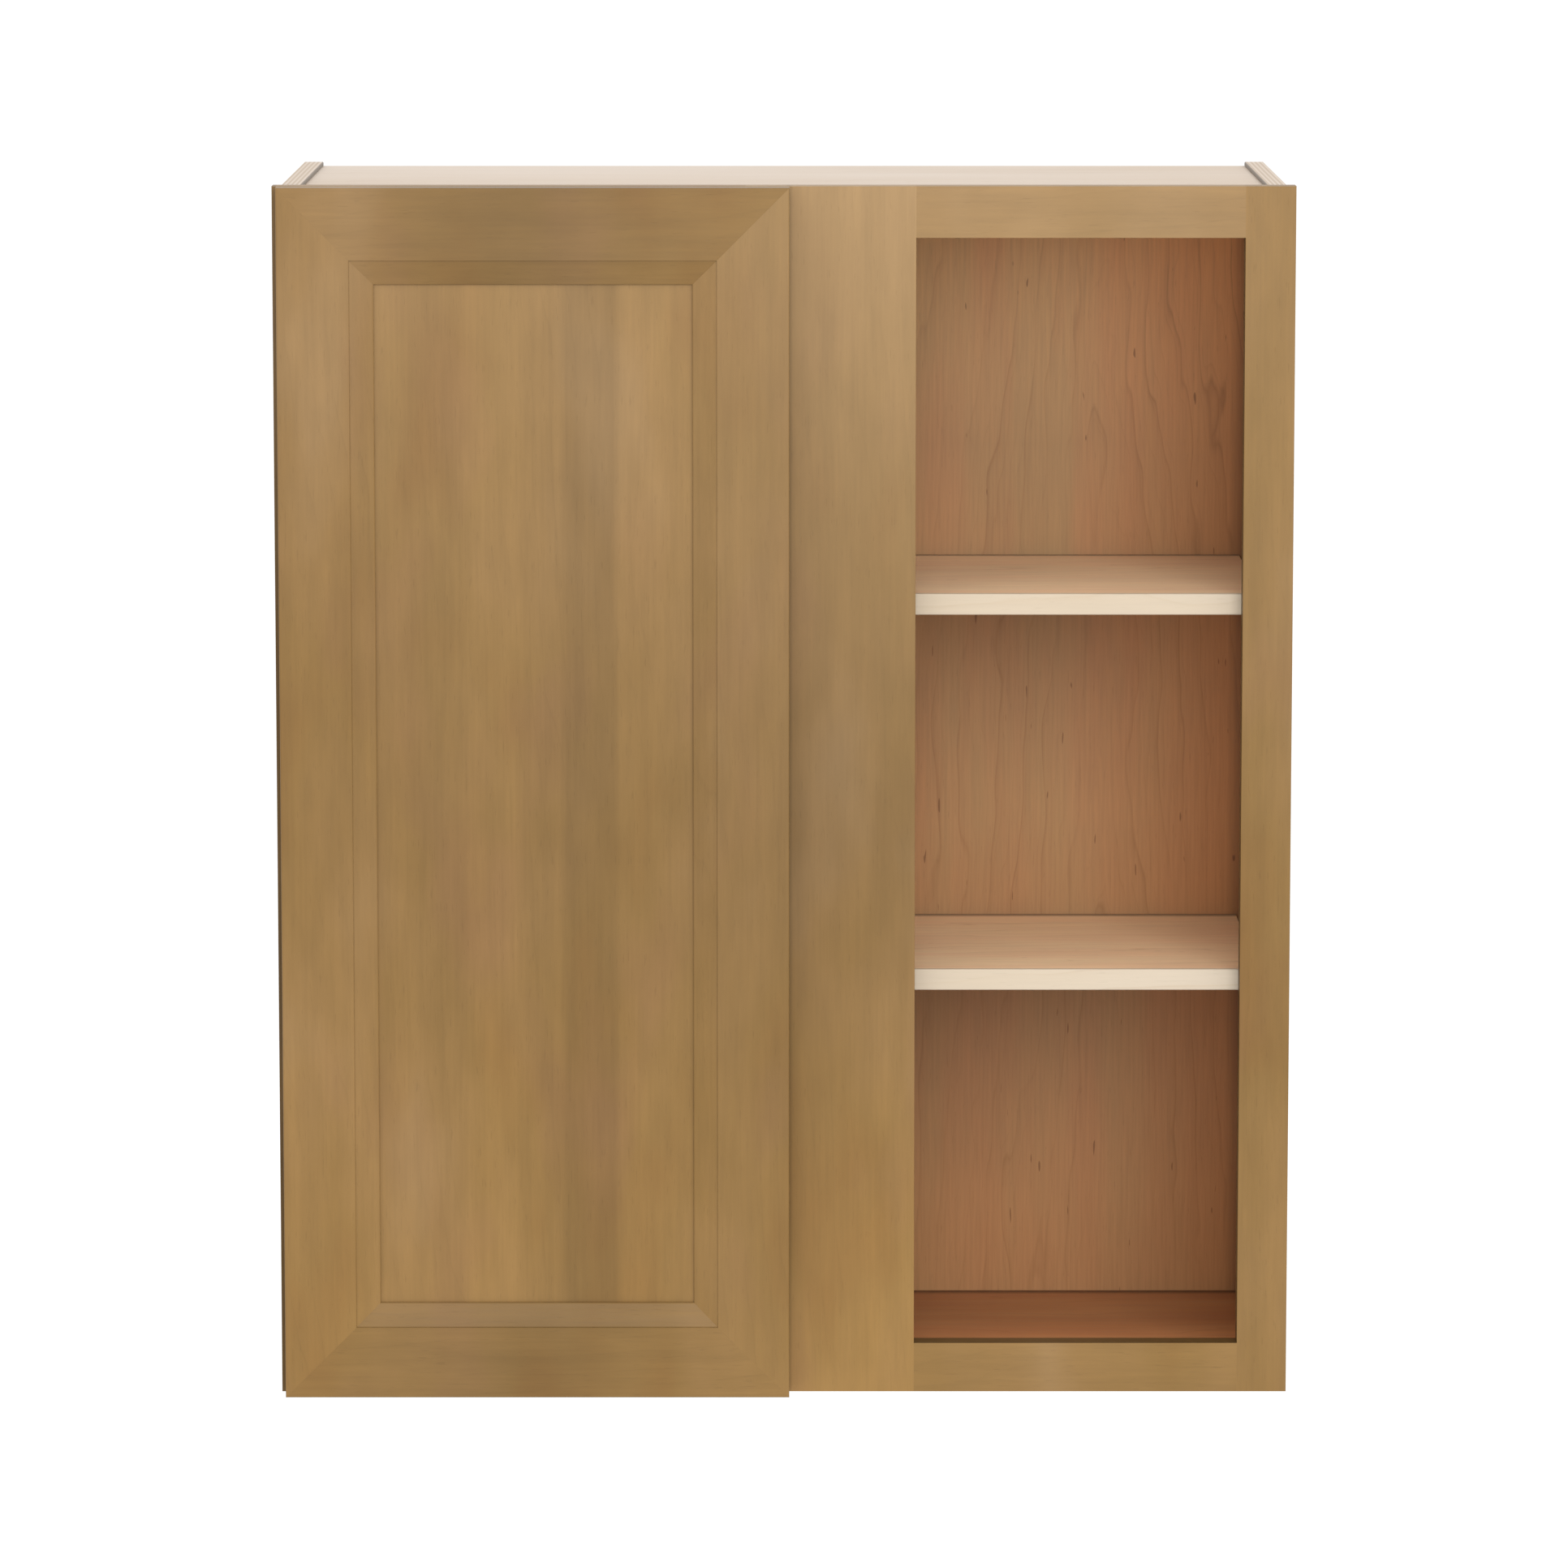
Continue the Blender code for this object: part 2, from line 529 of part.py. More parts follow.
def hinge_arm(place, hinge_z):
    """The gooseneck arm: knuckle on the pin, neck out of the cup's mouth, and a leg
    screwed to the stile's inner edge."""
    name = f"hinge_arm_{place}"
    leg_mid = LEG_X0 + ARM_T / 2 - PIVOT.x
    leg_end = LEG_Y0 + 0.006 - PIVOT.y
    path = [(0.0, -0.0004), (0.0045, -0.0009), (0.0100, -0.0009), (0.0160, -0.0002),
            (0.0220, 0.0018), (0.0258, 0.0048), (leg_mid, 0.0085), (leg_mid, leg_end)]
    arm = flat_outline(name, thick_path(path, ARM_T), ARM_H, "nickel")
    arm.location = (PIVOT.x, PIVOT.y, hinge_z)
    knuckle = cylinder(name + "_knuckle", KNUCKLE_R,
                       (PIVOT.x, PIVOT.y, hinge_z - ARM_H / 2 + 0.0001), ARM_H - 0.0002, "z",
                       segments=20)
    leg = box(name + "_leg", (LEG_X0 + 0.00005, LEG_Y0, hinge_z - LEG_H / 2),
              (LEG_X0 + ARM_T - 0.00005, LEG_Y1, hinge_z + LEG_H / 2))
    boolean(arm, knuckle, "UNION")
    boolean(arm, leg, "UNION")
    boolean(arm, cylinder(name + "_bore", HINGE_PIN_R + GAP,
                          (PIVOT.x, PIVOT.y, hinge_z - 0.02), 0.04, "z", segments=12))
    for end, step in (("top", 1), ("bottom", -1)):
        z = hinge_z + step * LEG_SCREW_SPAN / 2
        boolean(arm, pilot_hole(f"{name}_hole_{end}", (LEG_X0 - 0.005, LEG_SCREW_Y, z), 0.01,
                                "x"))
        screw(f"arm_screw_{place}_{end}", (LEG_X0 + ARM_T + GAP, LEG_SCREW_Y, z), "x")


face_frame()
cabinet_box()
shelves()
door_pivot, door_left_stile = door()
for hinge_place, height in HINGE_ZS.items():
    hinge_cup(hinge_place, height, door_pivot, door_left_stile)
    hinge_arm(hinge_place, height)
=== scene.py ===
"""Looks of the blind-corner wall cabinet: stained maple frame and door, veneered
plywood box and shelves, nickel hinges and pins, in a white studio."""
import math

import bmesh
import bpy
from mathutils import Matrix, Vector


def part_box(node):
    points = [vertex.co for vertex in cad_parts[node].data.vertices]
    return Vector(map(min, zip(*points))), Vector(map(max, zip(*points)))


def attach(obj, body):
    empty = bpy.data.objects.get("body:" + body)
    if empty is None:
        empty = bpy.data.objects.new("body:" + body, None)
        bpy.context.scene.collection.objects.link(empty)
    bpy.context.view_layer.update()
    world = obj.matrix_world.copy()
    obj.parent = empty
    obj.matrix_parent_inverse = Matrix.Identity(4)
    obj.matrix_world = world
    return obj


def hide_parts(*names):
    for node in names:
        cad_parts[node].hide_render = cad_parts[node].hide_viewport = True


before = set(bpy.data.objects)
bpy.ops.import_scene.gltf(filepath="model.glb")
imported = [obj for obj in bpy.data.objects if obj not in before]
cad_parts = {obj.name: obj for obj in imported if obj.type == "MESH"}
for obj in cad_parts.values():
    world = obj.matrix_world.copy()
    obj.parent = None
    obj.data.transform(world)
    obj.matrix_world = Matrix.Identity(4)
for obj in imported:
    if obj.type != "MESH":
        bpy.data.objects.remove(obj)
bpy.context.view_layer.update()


# Places read from the frame, metres.
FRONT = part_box("mid_stile")[0].y                 # face frame's front
BOX_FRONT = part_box("mid_stile")[1].y             # and back
TOP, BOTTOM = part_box("mid_stile")[1].z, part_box("mid_stile")[0].z
OPENING_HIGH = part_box("blind_bay_top_rail")[0].z
OPENING_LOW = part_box("blind_bay_bottom_rail")[1].z
OUTER_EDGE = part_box("right_stile")[1].x - 0.001  # beyond this is the frame's outer edge
BOX_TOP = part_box("top_panel")[1].z               # the sides stand above it
BACK_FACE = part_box("back_panel")[0].y
BAY_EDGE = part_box("right_stile")[0].x            # right edge of the blind bay's opening
MIDDLE_Z = (TOP + BOTTOM) / 2
DOOR_LOW = Vector((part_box("door_left_stile")[0].x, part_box("door_left_stile")[0].y,
                   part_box("door_bottom_rail")[0].z))
DOOR_HIGH = Vector((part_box("door_right_stile")[1].x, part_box("door_left_stile")[1].y,
                    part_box("door_top_rail")[1].z))
DOOR_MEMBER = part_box("door_left_stile")[1].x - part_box("door_left_stile")[0].x
DOOR_THICK = DOOR_HIGH.y - DOOR_LOW.y
PANEL_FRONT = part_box("door_panel")[0].y - DOOR_LOW.y
PANEL_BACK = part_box("door_panel")[1].y - DOOR_LOW.y

# Sizes that only the looks need, metres.
SEAM = 0.00001               # half of the hairline left in a glued joint
WELD = 0.000002              # points nearer to each other than this become one
ON_FACE = 0.0001             # a point this near to a face lies on it
RAIL_GAP = 0.0003            # that the CAD leaves between a rail and a stile
ROUNDING = 0.0008            # sanded edges of solid wood
INNER_ROUNDING = 0.0003      # edges eased after the joints were sanded flush
BROAD = 0.005                # faces at least this wide are flat, not part of a rounding
EDGE_SHADE_TONE = 0.46             # painted shade on the edges inside the frame's openings
DOOR_ROUNDING = 0.0011       # softer outer edge of the door
PANEL_ROUNDING = 0.0004
WALL_RAIL_ROUNDING = 0.0006
CUP_ROUNDING = 0.00018
ARM_ROUNDING = 0.00025
PIN_ROUNDING = 0.0003        # of the hinges' pins and the shelves' pins
DOOR_FLAT = 0.054            # flat face of the door's stiles and rails
QUIRK = 0.0011               # step down where the flat face ends
QUIRK_W = 0.0006
BEVEL_FOOT = 0.0058          # depth of the slope where it meets the panel
FOOT_EASE = 0.0002           # that the slope's foot is eased by
GROOVE_DEEP = 0.0095
CUP_RADIUS = 0.0175          # of a hinge cup's bowl
PANEL_PLAY = 0.0001          # between the panel and its groove
FIT_GAP = 0.0001             # between hardware and the wood it is let into
PAST_BACK = 0.002            # that a cutter for a cup's seat stands out of the door's back
SHANK_SHARE = 0.52           # of a screw's head that its shank is wide
ROOT_SHARE = 0.80            # of its shank that the bottom of its thread is wide
SCREW_HEAD_T = 0.0009
SCREW_RIM = 0.0003           # height of the head's upright rim
SCREW_POINT = 0.0012         # length of the blunt point
THREAD_PITCH = 0.0011
THREAD_FREE = 0.0004         # between the point and the first turn
THREAD_MARGIN = 0.004        # of a screw's length that has no thread
NECK = 0.0006                # narrow neck under the head
RECESS_DEEP = 0.0007         # of the cross in a screw's head
SIDE_PLIES = 9
BACK_PLIES = 3


# ------------------------------------------------------------------ shader building
class Shader:
    """A material under construction, with short calls for the nodes it needs."""

    def __init__(self, name):
        self.material = bpy.data.materials.new(name)
        self.material.use_nodes = True
        self.tree = self.material.node_tree
        self.surface = self.tree.nodes["Principled BSDF"]

    def add(self, kind, sockets=None, **settings):
        """A new node with its settings, and its sockets linked or set."""
        made = self.tree.nodes.new(kind)
        for key, value in settings.items():
            setattr(made, key, value)
        for key, value in (sockets or {}).items():
            self.feed(made.inputs[key], value)
        return made

    def feed(self, socket, value):
        """Links an output to the socket, or sets a plain value on it."""
        if isinstance(value, bpy.types.NodeSocket):
            self.tree.links.new(value, socket)
        elif hasattr(socket.default_value, "__len__") and hasattr(value, "__len__"):
            size = len(socket.default_value)
            socket.default_value = tuple(value) + (1.0,) * (size - len(value))
        else:
            socket.default_value = value

    def math(self, operation, first, second=0.0, third=0.0):
        """One arithmetic step."""
        made = self.add("ShaderNodeMath", {0: first, 1: second, 2: third}, operation=operation)
        return made.outputs[0]

    def place(self, offset=(0, 0, 0), turn=(0, 0, 0), stretch=(1, 1, 1), vector=None):
        """The point on the object, or the given vector, moved, turned and stretched."""
        if vector is None:
            vector = self.add("ShaderNodeTexCoord").outputs["Object"]
        made = self.add("ShaderNodeMapping", {"Vector": vector, "Location": offset,
                                              "Rotation": turn, "Scale": stretch})
        return made.outputs[0]

    def noise(self, vector, scale, detail=2.0, roughness=0.5, stretch=None, offset=(0, 0, 0)):
        """Soft random values; a stretch below 1 draws them out along that axis."""
        if stretch:
            vector = self.place(offset, stretch=stretch, vector=vector)
        made = self.add("ShaderNodeTexNoise", {"Vector": vector, "Scale": scale,
                                               "Detail": detail, "Roughness": roughness})
        return made.outputs["Fac"]

    def spread(self, value, low, high, to_low=0.0, to_high=1.0):
        """Maps a range onto another, clamped."""
        made = self.add("ShaderNodeMapRange", {"Value": value, "From Min": low,
                                               "From Max": high, "To Min": to_low,
                                               "To Max": to_high})
        return made.outputs[0]

    def mix(self, factor, first, second, blend="MIX"):
        """From the first colour to the second."""
        made = self.add("ShaderNodeMix", data_type="RGBA", blend_type=blend)
        self.feed(made.inputs[0], factor)
        self.feed(made.inputs[6], first)
        self.feed(made.inputs[7], second)
        return made.outputs[2]

    def ramp(self, factor, stops):
        """Colours along a range, from (position, colour) stops."""
        made = self.add("ShaderNodeValToRGB", {"Fac": factor})
        ramp = made.color_ramp
        while len(ramp.elements) < len(stops):
            ramp.elements.new(0.5)
        for element, (position, colour) in zip(ramp.elements, stops):
            element.position = position
            element.color = (*colour, 1.0)
        return made.outputs["Color"]

    def scale_colour(self, colour, factor):
        """The colour times a grey factor."""
        grey = self.add("ShaderNodeCombineColor", {0: factor, 1: factor, 2: factor})
        return self.mix(1.0, colour, grey.outputs[0], "MULTIPLY")

    def bump(self, height, distance, strength):
        """Fine relief; distance is in metres."""
        made = self.add("ShaderNodeBump", {"Height": height, "Distance": distance,
                                           "Strength": strength})
        return made.outputs[0]

    def finish(self, colour, roughness, normal=None, **sockets):
        """The finished material. A socket's name has _ for each space."""
        self.feed(self.surface.inputs["Base Color"], colour)
        self.feed(self.surface.inputs["Roughness"], roughness)
        if normal is not None:
            self.feed(self.surface.inputs["Normal"], normal)
        for key, value in sockets.items():
            self.surface.inputs[key.replace("_", " ")].default_value = value
        return self.material


def srgb(red, green, blue):
    """A linear colour from display values out of 255."""
    return tuple((c / 255 / 12.92) if c <= 10 else ((c / 255 + 0.055) / 1.055) ** 2.4
                 for c in (red, green, blue))


ARCH_ROUND = 0.014           # how blunt the arches of the growth lines are, metres
ARCH_TAPER = 0.07            # rise of the log's cone: small values give tall arches
GRAIN_TURN = {"z": (0.0, 0.0, 0.0), "x": (0.0, math.pi / 2, 0.0)}
SEED_STEP = Vector((0.731, 0.377, 0.519))   # metres through the wood from seed to seed


def place_in_wood(shader, grain, seed):
    """The point in a log of its own for each seed, with the grain turned to run along Z."""
    return shader.place(SEED_STEP * seed, GRAIN_TURN[grain])


def growth_lines(shader, wood, spacing, heart=0.0, figure=0.5, waver=0.4):
    """Thin dark growth lines of plain-sliced wood, nested in tall arches about a heart
    line. wood is the position with the grain along Z; spacing is the mean gap between
    lines; heart is where across the board the arches stand; figure and waver are how
    many lines the slow swells and the small waves in the log push aside."""
    swell = shader.noise(wood, 10.0, 1.0, 0.4, stretch=(1.0, 1.0, 0.34))
    wave = shader.noise(wood, 34.0, 2.0, 0.5, stretch=(1.0, 1.0, 0.20))
    shiver = shader.noise(wood, 150.0, 2.0, 0.5, stretch=(1.0, 1.0, 0.14))
    split = shader.add("ShaderNodeSeparateXYZ", {0: wood})
    across = shader.math("MULTIPLY_ADD", split.outputs[1], 0.9, split.outputs[0])
    across = shader.math("SUBTRACT", across, heart)
    square = shader.math("MULTIPLY_ADD", across, across, ARCH_ROUND ** 2)
    turns = shader.math("MULTIPLY", shader.math("SQRT", square), 1.0 / spacing)
    turns = shader.math("MULTIPLY_ADD", split.outputs[2], ARCH_TAPER / spacing, turns)
    turns = shader.math("MULTIPLY_ADD", swell, 4.0 * figure, turns)
    turns = shader.math("MULTIPLY_ADD", wave, 4.0 * waver, turns)
    turns = shader.math("MULTIPLY_ADD", shiver, 0.14, turns)
    saw = shader.math("FRACT", shader.math("ADD", turns, 40.0))
    rise = shader.spread(saw, 0.10, 0.95)
    fall = shader.spread(saw, 0.95, 1.0, 1.0, 0.0)
    line = shader.math("POWER", rise, 22.0)
    halo = shader.math("MULTIPLY", shader.math("POWER", rise, 2.5), 0.28)
    fade = shader.noise(wood, 16.0, 2.0, 0.5, stretch=(1.0, 1.0, 0.25), offset=(7.0, 2.0, 5.0))
    both = shader.math("MULTIPLY", shader.math("ADD", line, halo), fall)
    return shader.math("MULTIPLY", both, shader.spread(fade, 0.36, 0.66, 0.08, 1.0))


def fibres_and_pores(shader, wood):
    """Fine streaks along the grain, and short dark pores."""
    fibres = shader.noise(wood, 420.0, 3.0, 0.6, stretch=(1.0, 1.0, 0.035))
    pores = shader.noise(wood, 900.0, 1.0, 0.4, stretch=(1.0, 1.0, 0.09), offset=(0.2, 0.1, 0.3))
    return fibres, shader.spread(pores, 0.66, 0.76)


def painted_height_light(shader, painted_top_light, painted_bottom_light):
    """Painted light: lighter towards the top, as if lit from above, and towards the bottom,
    as if lit from the floor. Returns the tone, and how near to the top the point is."""
    place = shader.add("ShaderNodeTexCoord").outputs["Object"]
    split = shader.add("ShaderNodeSeparateXYZ", {0: place})
    darkest = BOTTOM + 0.46 * (TOP - BOTTOM)
    upper = shader.spread(split.outputs[2], darkest, TOP)
    lower = shader.spread(split.outputs[2], darkest, BOTTOM)
    tone = shader.math("MULTIPLY_ADD", shader.math("POWER", upper, 1.25), painted_top_light, 1.0)
    return shader.math("MULTIPLY_ADD", lower, painted_bottom_light, tone), upper


def stained_maple(name, grain="z", seed=0.0, tone=1.0, boards_and_shade=None, painted_top_light=0.24,
                  painted_bottom_light=0.13):
    """Light brown stain on maple: olive, tan and rosy blotches that run on from board to
    board, with faint growth lines, fine streaks and short pores under a satin lacquer.
    Painted light makes it lighter towards the top and the bottom, and paler at the top;
    the board rows can add painted shadow bands."""
    shader = Shader(name)
    wood = place_in_wood(shader, grain, seed)
    whole = shader.place()
    cloud = shader.noise(whole, 8.0, 3.0, 0.5, stretch=(1.0, 1.0, 0.45))
    hue = shader.noise(whole, 13.0, 2.0, 0.5, stretch=(1.0, 1.0, 0.40), offset=(5.0, 2.0, 1.0))
    small = shader.noise(wood, 60.0, 3.0, 0.55, stretch=(1.0, 1.0, 0.30))
    tan_to_olive = shader.ramp(cloud, [(0.30, STAIN["brown"]), (0.45, STAIN["olive"]),
                                       (0.58, STAIN["tan"]), (0.72, STAIN["light"])])
    colour = shader.mix(shader.spread(hue, 0.54, 0.74, 0.0, 0.50), tan_to_olive, STAIN["rosy"])
    level = shader.spread(small, 0.3, 0.7, 0.955 * tone, 1.045 * tone)
    # Board tones, and painted shadow bands beside the closed door's edges.
    if boards_and_shade:
        level = shader.math("MULTIPLY", level, board_tones_and_shade(shader, boards_and_shade))
    streak = shader.noise(wood, 75.0, 3.0, 0.55, stretch=(1.0, 1.0, 0.05), offset=(2.0, 8.0, 4.0))
    level = shader.math("MULTIPLY", level, shader.spread(streak, 0.3, 0.7, 0.955, 1.045))
    # Painted light: lighter towards the top, as if lit from above, and towards the bottom, as if
    # lit from the floor.
    painted_lift, upper = painted_height_light(shader, painted_top_light, painted_bottom_light)
    level = shader.math("MULTIPLY", level, painted_lift)
    # Painted light: towards the top the colour also turns paler.
    colour = shader.mix(shader.math("MULTIPLY", upper, 1.5 * painted_top_light), colour, STAIN["dry"])
    rings = growth_lines(shader, wood, 0.014, 0.0, 0.9)
    fibres, pores = fibres_and_pores(shader, wood)
    level = shader.math("MULTIPLY", level, shader.math("MULTIPLY_ADD", rings, -0.045, 1.006))
    level = shader.math("MULTIPLY", level, shader.spread(fibres, 0.3, 0.7, 0.965, 1.03))
    level = shader.math("MULTIPLY", level, shader.math("MULTIPLY_ADD", pores, -0.09, 1.0))
    colour = shader.scale_colour(colour, level)
    roughness = shader.spread(fibres, 0.3, 0.7, 0.40, 0.47)
    relief = shader.math("MULTIPLY_ADD", pores, -0.7, shader.math("MULTIPLY", fibres, 0.3))
    normal = shader.bump(relief, 0.00008, 0.5)
    return shader.finish(colour, roughness, normal, Specular_IOR_Level=0.22)


def board_tones_and_shade(shader, boards_and_shade):
    """Tone of each glued-up board across X, and of painted shadow bands beside the door's edges:
    (centre, half width, soft edge, tone) rows.
    Each board's tone comes and goes a little along its length."""
    place = shader.add("ShaderNodeTexCoord").outputs["Object"]
    split = shader.add("ShaderNodeSeparateXYZ", {0: place})
    tone = 1.0
    for number, (centre, half, soft, gain) in enumerate(boards_and_shade):
        away = shader.math("ABSOLUTE", shader.math("SUBTRACT", split.outputs[0], centre))
        inside = shader.spread(away, half - soft, half + soft, 1.0, 0.0)
        along = shader.noise(place, 6.0, 2.0, 0.5, stretch=(0.6, 0.6, 1.0), offset=(0, number, 0))
        inside = shader.math("MULTIPLY", inside, shader.spread(along, 0.36, 0.62, 0.75, 1.15))
        tone = shader.math("MULTIPLY", tone, shader.math("MULTIPLY_ADD", inside, gain - 1.0, 1.0))
    return tone


def clear_maple(name, grain="z", seed=0.0, palette=None, heart=0.0, corner_shade=None, tone=1.0,
                light_and_shade_fades=()):
    """Clear-finished plain-sliced maple veneer: rosy and olive zones along the grain,
    bold growth lines that arch over fine ones, and short dark flecks. The corner places are
    a (from, to) pair of X places between which the veneer turns redder, painted shade by a
    side wall; with them the lower half also turns redder, painted shade low down, and the
    top is lighter, painted light. The fade rows are (axis, from, to, tone) rows of painted
    light and painted shade: between two places along an axis the veneer goes to that tone."""
    palette = palette or VENEER
    shader = Shader(name)
    wood = place_in_wood(shader, grain, seed)
    zone = shader.noise(wood, 30.0, 2.0, 0.5, stretch=(1.0, 1.0, 0.13))
    cloud = shader.noise(wood, 8.0, 3.0, 0.5, stretch=(1.0, 1.0, 0.5), offset=(2.0, 6.0, 3.0))
    colour = shader.ramp(zone, [(0.34, palette["rosy"]), (0.50, palette["mid"]),
                                (0.64, palette["light"])])
    # Painted shade: redder near the side wall and in the lower half. Painted light: lighter near
    # the top.
    if corner_shade:
        place = shader.add("ShaderNodeSeparateXYZ", {0: shader.place()})
        painted_shade_near_side = shader.spread(place.outputs[0], corner_shade[0], corner_shade[1])
        painted_shade_low_down = shader.spread(place.outputs[2], MIDDLE_Z, BOTTOM, 0.0, 0.45)
        red = shader.math("MAXIMUM", painted_shade_near_side, painted_shade_low_down)
        colour = shader.mix(red, colour, palette["red"])
        painted_light_high_up = shader.spread(place.outputs[2], TOP - 0.22, TOP - 0.05, 1.0, 1.70)
        colour = shader.scale_colour(colour, painted_light_high_up)
    bold = growth_lines(shader, wood, 0.021, heart, 0.60, 0.50)
    fine = growth_lines(shader, wood, 0.0065, heart, 1.6, 1.3)
    fibres, pores = fibres_and_pores(shader, wood)
    dark = shader.math("MULTIPLY_ADD", fine, 0.36, bold)
    colour = shader.mix(shader.math("MULTIPLY", dark, 0.31), colour, palette["line"])
    fleck = shader.noise(wood, 380.0, 0.0, 0.5, stretch=(1.0, 1.0, 0.15), offset=(1.0, 4.0, 2.0))
    colour = shader.mix(shader.spread(fleck, 0.855, 0.885, 0.0, 0.60), colour, palette["fleck"])
    level = shader.spread(fibres, 0.3, 0.7, 0.925 * tone, 1.075 * tone)
    # Painted light and painted shade along an axis.
    for axis, start, end, end_tone in light_and_shade_fades:
        place = shader.add("ShaderNodeSeparateXYZ", {0: shader.place()})
        fade = shader.spread(place.outputs["xyz".index(axis)], start, end, 1.0, end_tone)
        level = shader.math("MULTIPLY", level, fade)
    level = shader.math("MULTIPLY", level, shader.spread(cloud, 0.3, 0.7, 0.94, 1.06))
    level = shader.math("MULTIPLY", level, shader.math("MULTIPLY_ADD", pores, -0.10, 1.0))
    colour = shader.scale_colour(colour, level)
    normal = shader.bump(shader.math("MULTIPLY", fibres, 0.4), 0.00006, 0.4)
    roughness = shader.spread(fibres, 0.3, 0.7, 0.42, 0.50)
    return shader.finish(colour, roughness, normal, Specular_IOR_Level=0.25)


def raw_maple(name, grain="x", seed=0.0, tone=1.0, palette=None):
    """Pale unfinished veneer or solid maple, with faint lines and a matt surface."""
    palette = palette or PALE
    shader = Shader(name)
    wood = place_in_wood(shader, grain, seed)
    cloud = shader.noise(wood, 7.0, 3.0, 0.5, stretch=(1.0, 1.0, 0.3))
    colour = shader.ramp(cloud, [(0.32, palette["warm"]), (0.66, palette["light"])])
    rings = growth_lines(shader, wood, 0.019, 0.0, 0.9)
    fibres, pores = fibres_and_pores(shader, wood)
    colour = shader.mix(shader.math("MULTIPLY", rings, 0.22), colour, palette["line"])
    level = shader.spread(fibres, 0.3, 0.7, 0.97 * tone, 1.02 * tone)
    level = shader.math("MULTIPLY", level, shader.math("MULTIPLY_ADD", pores, -0.07, 1.0))
    colour = shader.scale_colour(colour, level)
    normal = shader.bump(fibres, 0.00008, 0.5)
    return shader.finish(colour, shader.spread(fibres, 0.3, 0.7, 0.55, 0.66), normal)


def ply_edge(name, across, start, plies, thickness):
    """Cut edge of plywood: alternating plies across one axis, with end-grain specks."""
    shader = Shader(name)
    place = shader.add("ShaderNodeTexCoord").outputs["Object"]
    split = shader.add("ShaderNodeSeparateXYZ", {0: place})
    waver = shader.noise(place, 14.0, 2.0, 0.5)
    depth = shader.math("SUBTRACT", split.outputs["xyz".index(across)], start)
    depth = shader.math("MULTIPLY_ADD", waver, 0.0004, depth)
    layer = shader.math("MULTIPLY", depth, plies / thickness)
    odd = shader.math("PINGPONG", layer, 1.0)
    band = shader.spread(odd, 0.42, 0.58)
    glue = shader.spread(shader.math("ABSOLUTE", shader.math("SUBTRACT", odd, 0.5)), 0.0, 0.06,
                         1.0, 0.0)
    speck = shader.noise(place, 1400.0, 2.0, 0.6)
    colour = shader.mix(shader.math("MULTIPLY", band, 0.55), PALE["light"], PALE["end_grain"])
    colour = shader.mix(shader.math("MULTIPLY", glue, 0.25), colour, PALE["line"])
    level = shader.spread(speck, 0.3, 0.7, 0.93, 1.04)
    colour = shader.scale_colour(colour, level)
    return shader.finish(colour, 0.68, shader.bump(speck, 0.0001, 0.5))


def metal(name, colour, base_roughness, scratch_axis="x"):
    """Plated steel with faint brushing and a little tarnish."""
    shader = Shader(name)
    place = shader.place(turn=GRAIN_TURN[scratch_axis])
    brush = shader.noise(place, 2600.0, 2.0, 0.6, stretch=(1.0, 1.0, 0.02))
    stain = shader.noise(place, 130.0, 4.0, 0.6)
    tint = shader.mix(shader.spread(stain, 0.45, 0.75, 0.0, 0.35), colour,
                      tuple(c * 0.72 for c in colour))
    roughness = shader.math("ADD", shader.spread(brush, 0.3, 0.7, base_roughness - 0.05,
                                                 base_roughness + 0.07),
                            shader.spread(stain, 0.45, 0.8, 0.0, 0.10))
    normal = shader.bump(brush, 0.00002, 0.2)
    return shader.finish(tint, roughness, normal, Metallic=1.0)


def soft_rubber(name):
    """Cloudy clear polyurethane."""
    shader = Shader(name)
    haze = shader.noise(shader.place(), 700.0, 3.0, 0.5)
    colour = shader.mix(haze, srgb(214, 212, 203), srgb(236, 235, 228))
    return shader.finish(colour, shader.spread(haze, 0.3, 0.7, 0.26, 0.36),
                         shader.bump(haze, 0.00003, 0.4), Transmission_Weight=0.35, IOR=1.48)


def shown(red, green, blue, light, sheen=0.022):
    """Base colour of a surface that shows as this display colour under this much light."""
    return tuple(max((value - sheen) / light, 0.004) for value in srgb(red, green, blue))


# Light that reaches each place from the studio, as a factor on the base colour.
ON_FRONT, ON_TOP, ON_NOSING = 1.70, 1.40, 1.62
# The last stain colour is the paler one that the top turns to: painted light.
STAIN = {"brown": shown(148, 112, 68, ON_FRONT), "olive": shown(154, 121, 75, ON_FRONT),
         "tan": shown(160, 126, 81, ON_FRONT), "light": shown(168, 135, 93, ON_FRONT),
         "rosy": shown(158, 120, 84, ON_FRONT), "dry": shown(168, 139, 102, ON_FRONT)}
# The red colour is what the back turns to near its right side and low down: painted shade.
VENEER = {"rosy": (0.422, 0.218, 0.096), "mid": (0.413, 0.226, 0.099),
          "light": (0.402, 0.234, 0.102), "line": (0.205, 0.084, 0.030),
          "fleck": (0.140, 0.056, 0.022), "red": (0.455, 0.196, 0.071)}
# Darker, for the insides of the sides: painted shade.
SHADED_SIDE_VENEER = {"rosy": (0.300, 0.130, 0.048), "mid": (0.320, 0.148, 0.056),
               "light": (0.340, 0.168, 0.064), "line": (0.160, 0.062, 0.021),
               "fleck": (0.080, 0.028, 0.009)}
# Much lighter, for the shelves: painted light on their tops.
LIT_SHELF_VENEER = {"rosy": (0.880, 0.595, 0.370), "mid": (0.890, 0.630, 0.395),
                "light": (0.900, 0.660, 0.415), "line": (0.540, 0.300, 0.150),
                "fleck": (0.260, 0.120, 0.050)}
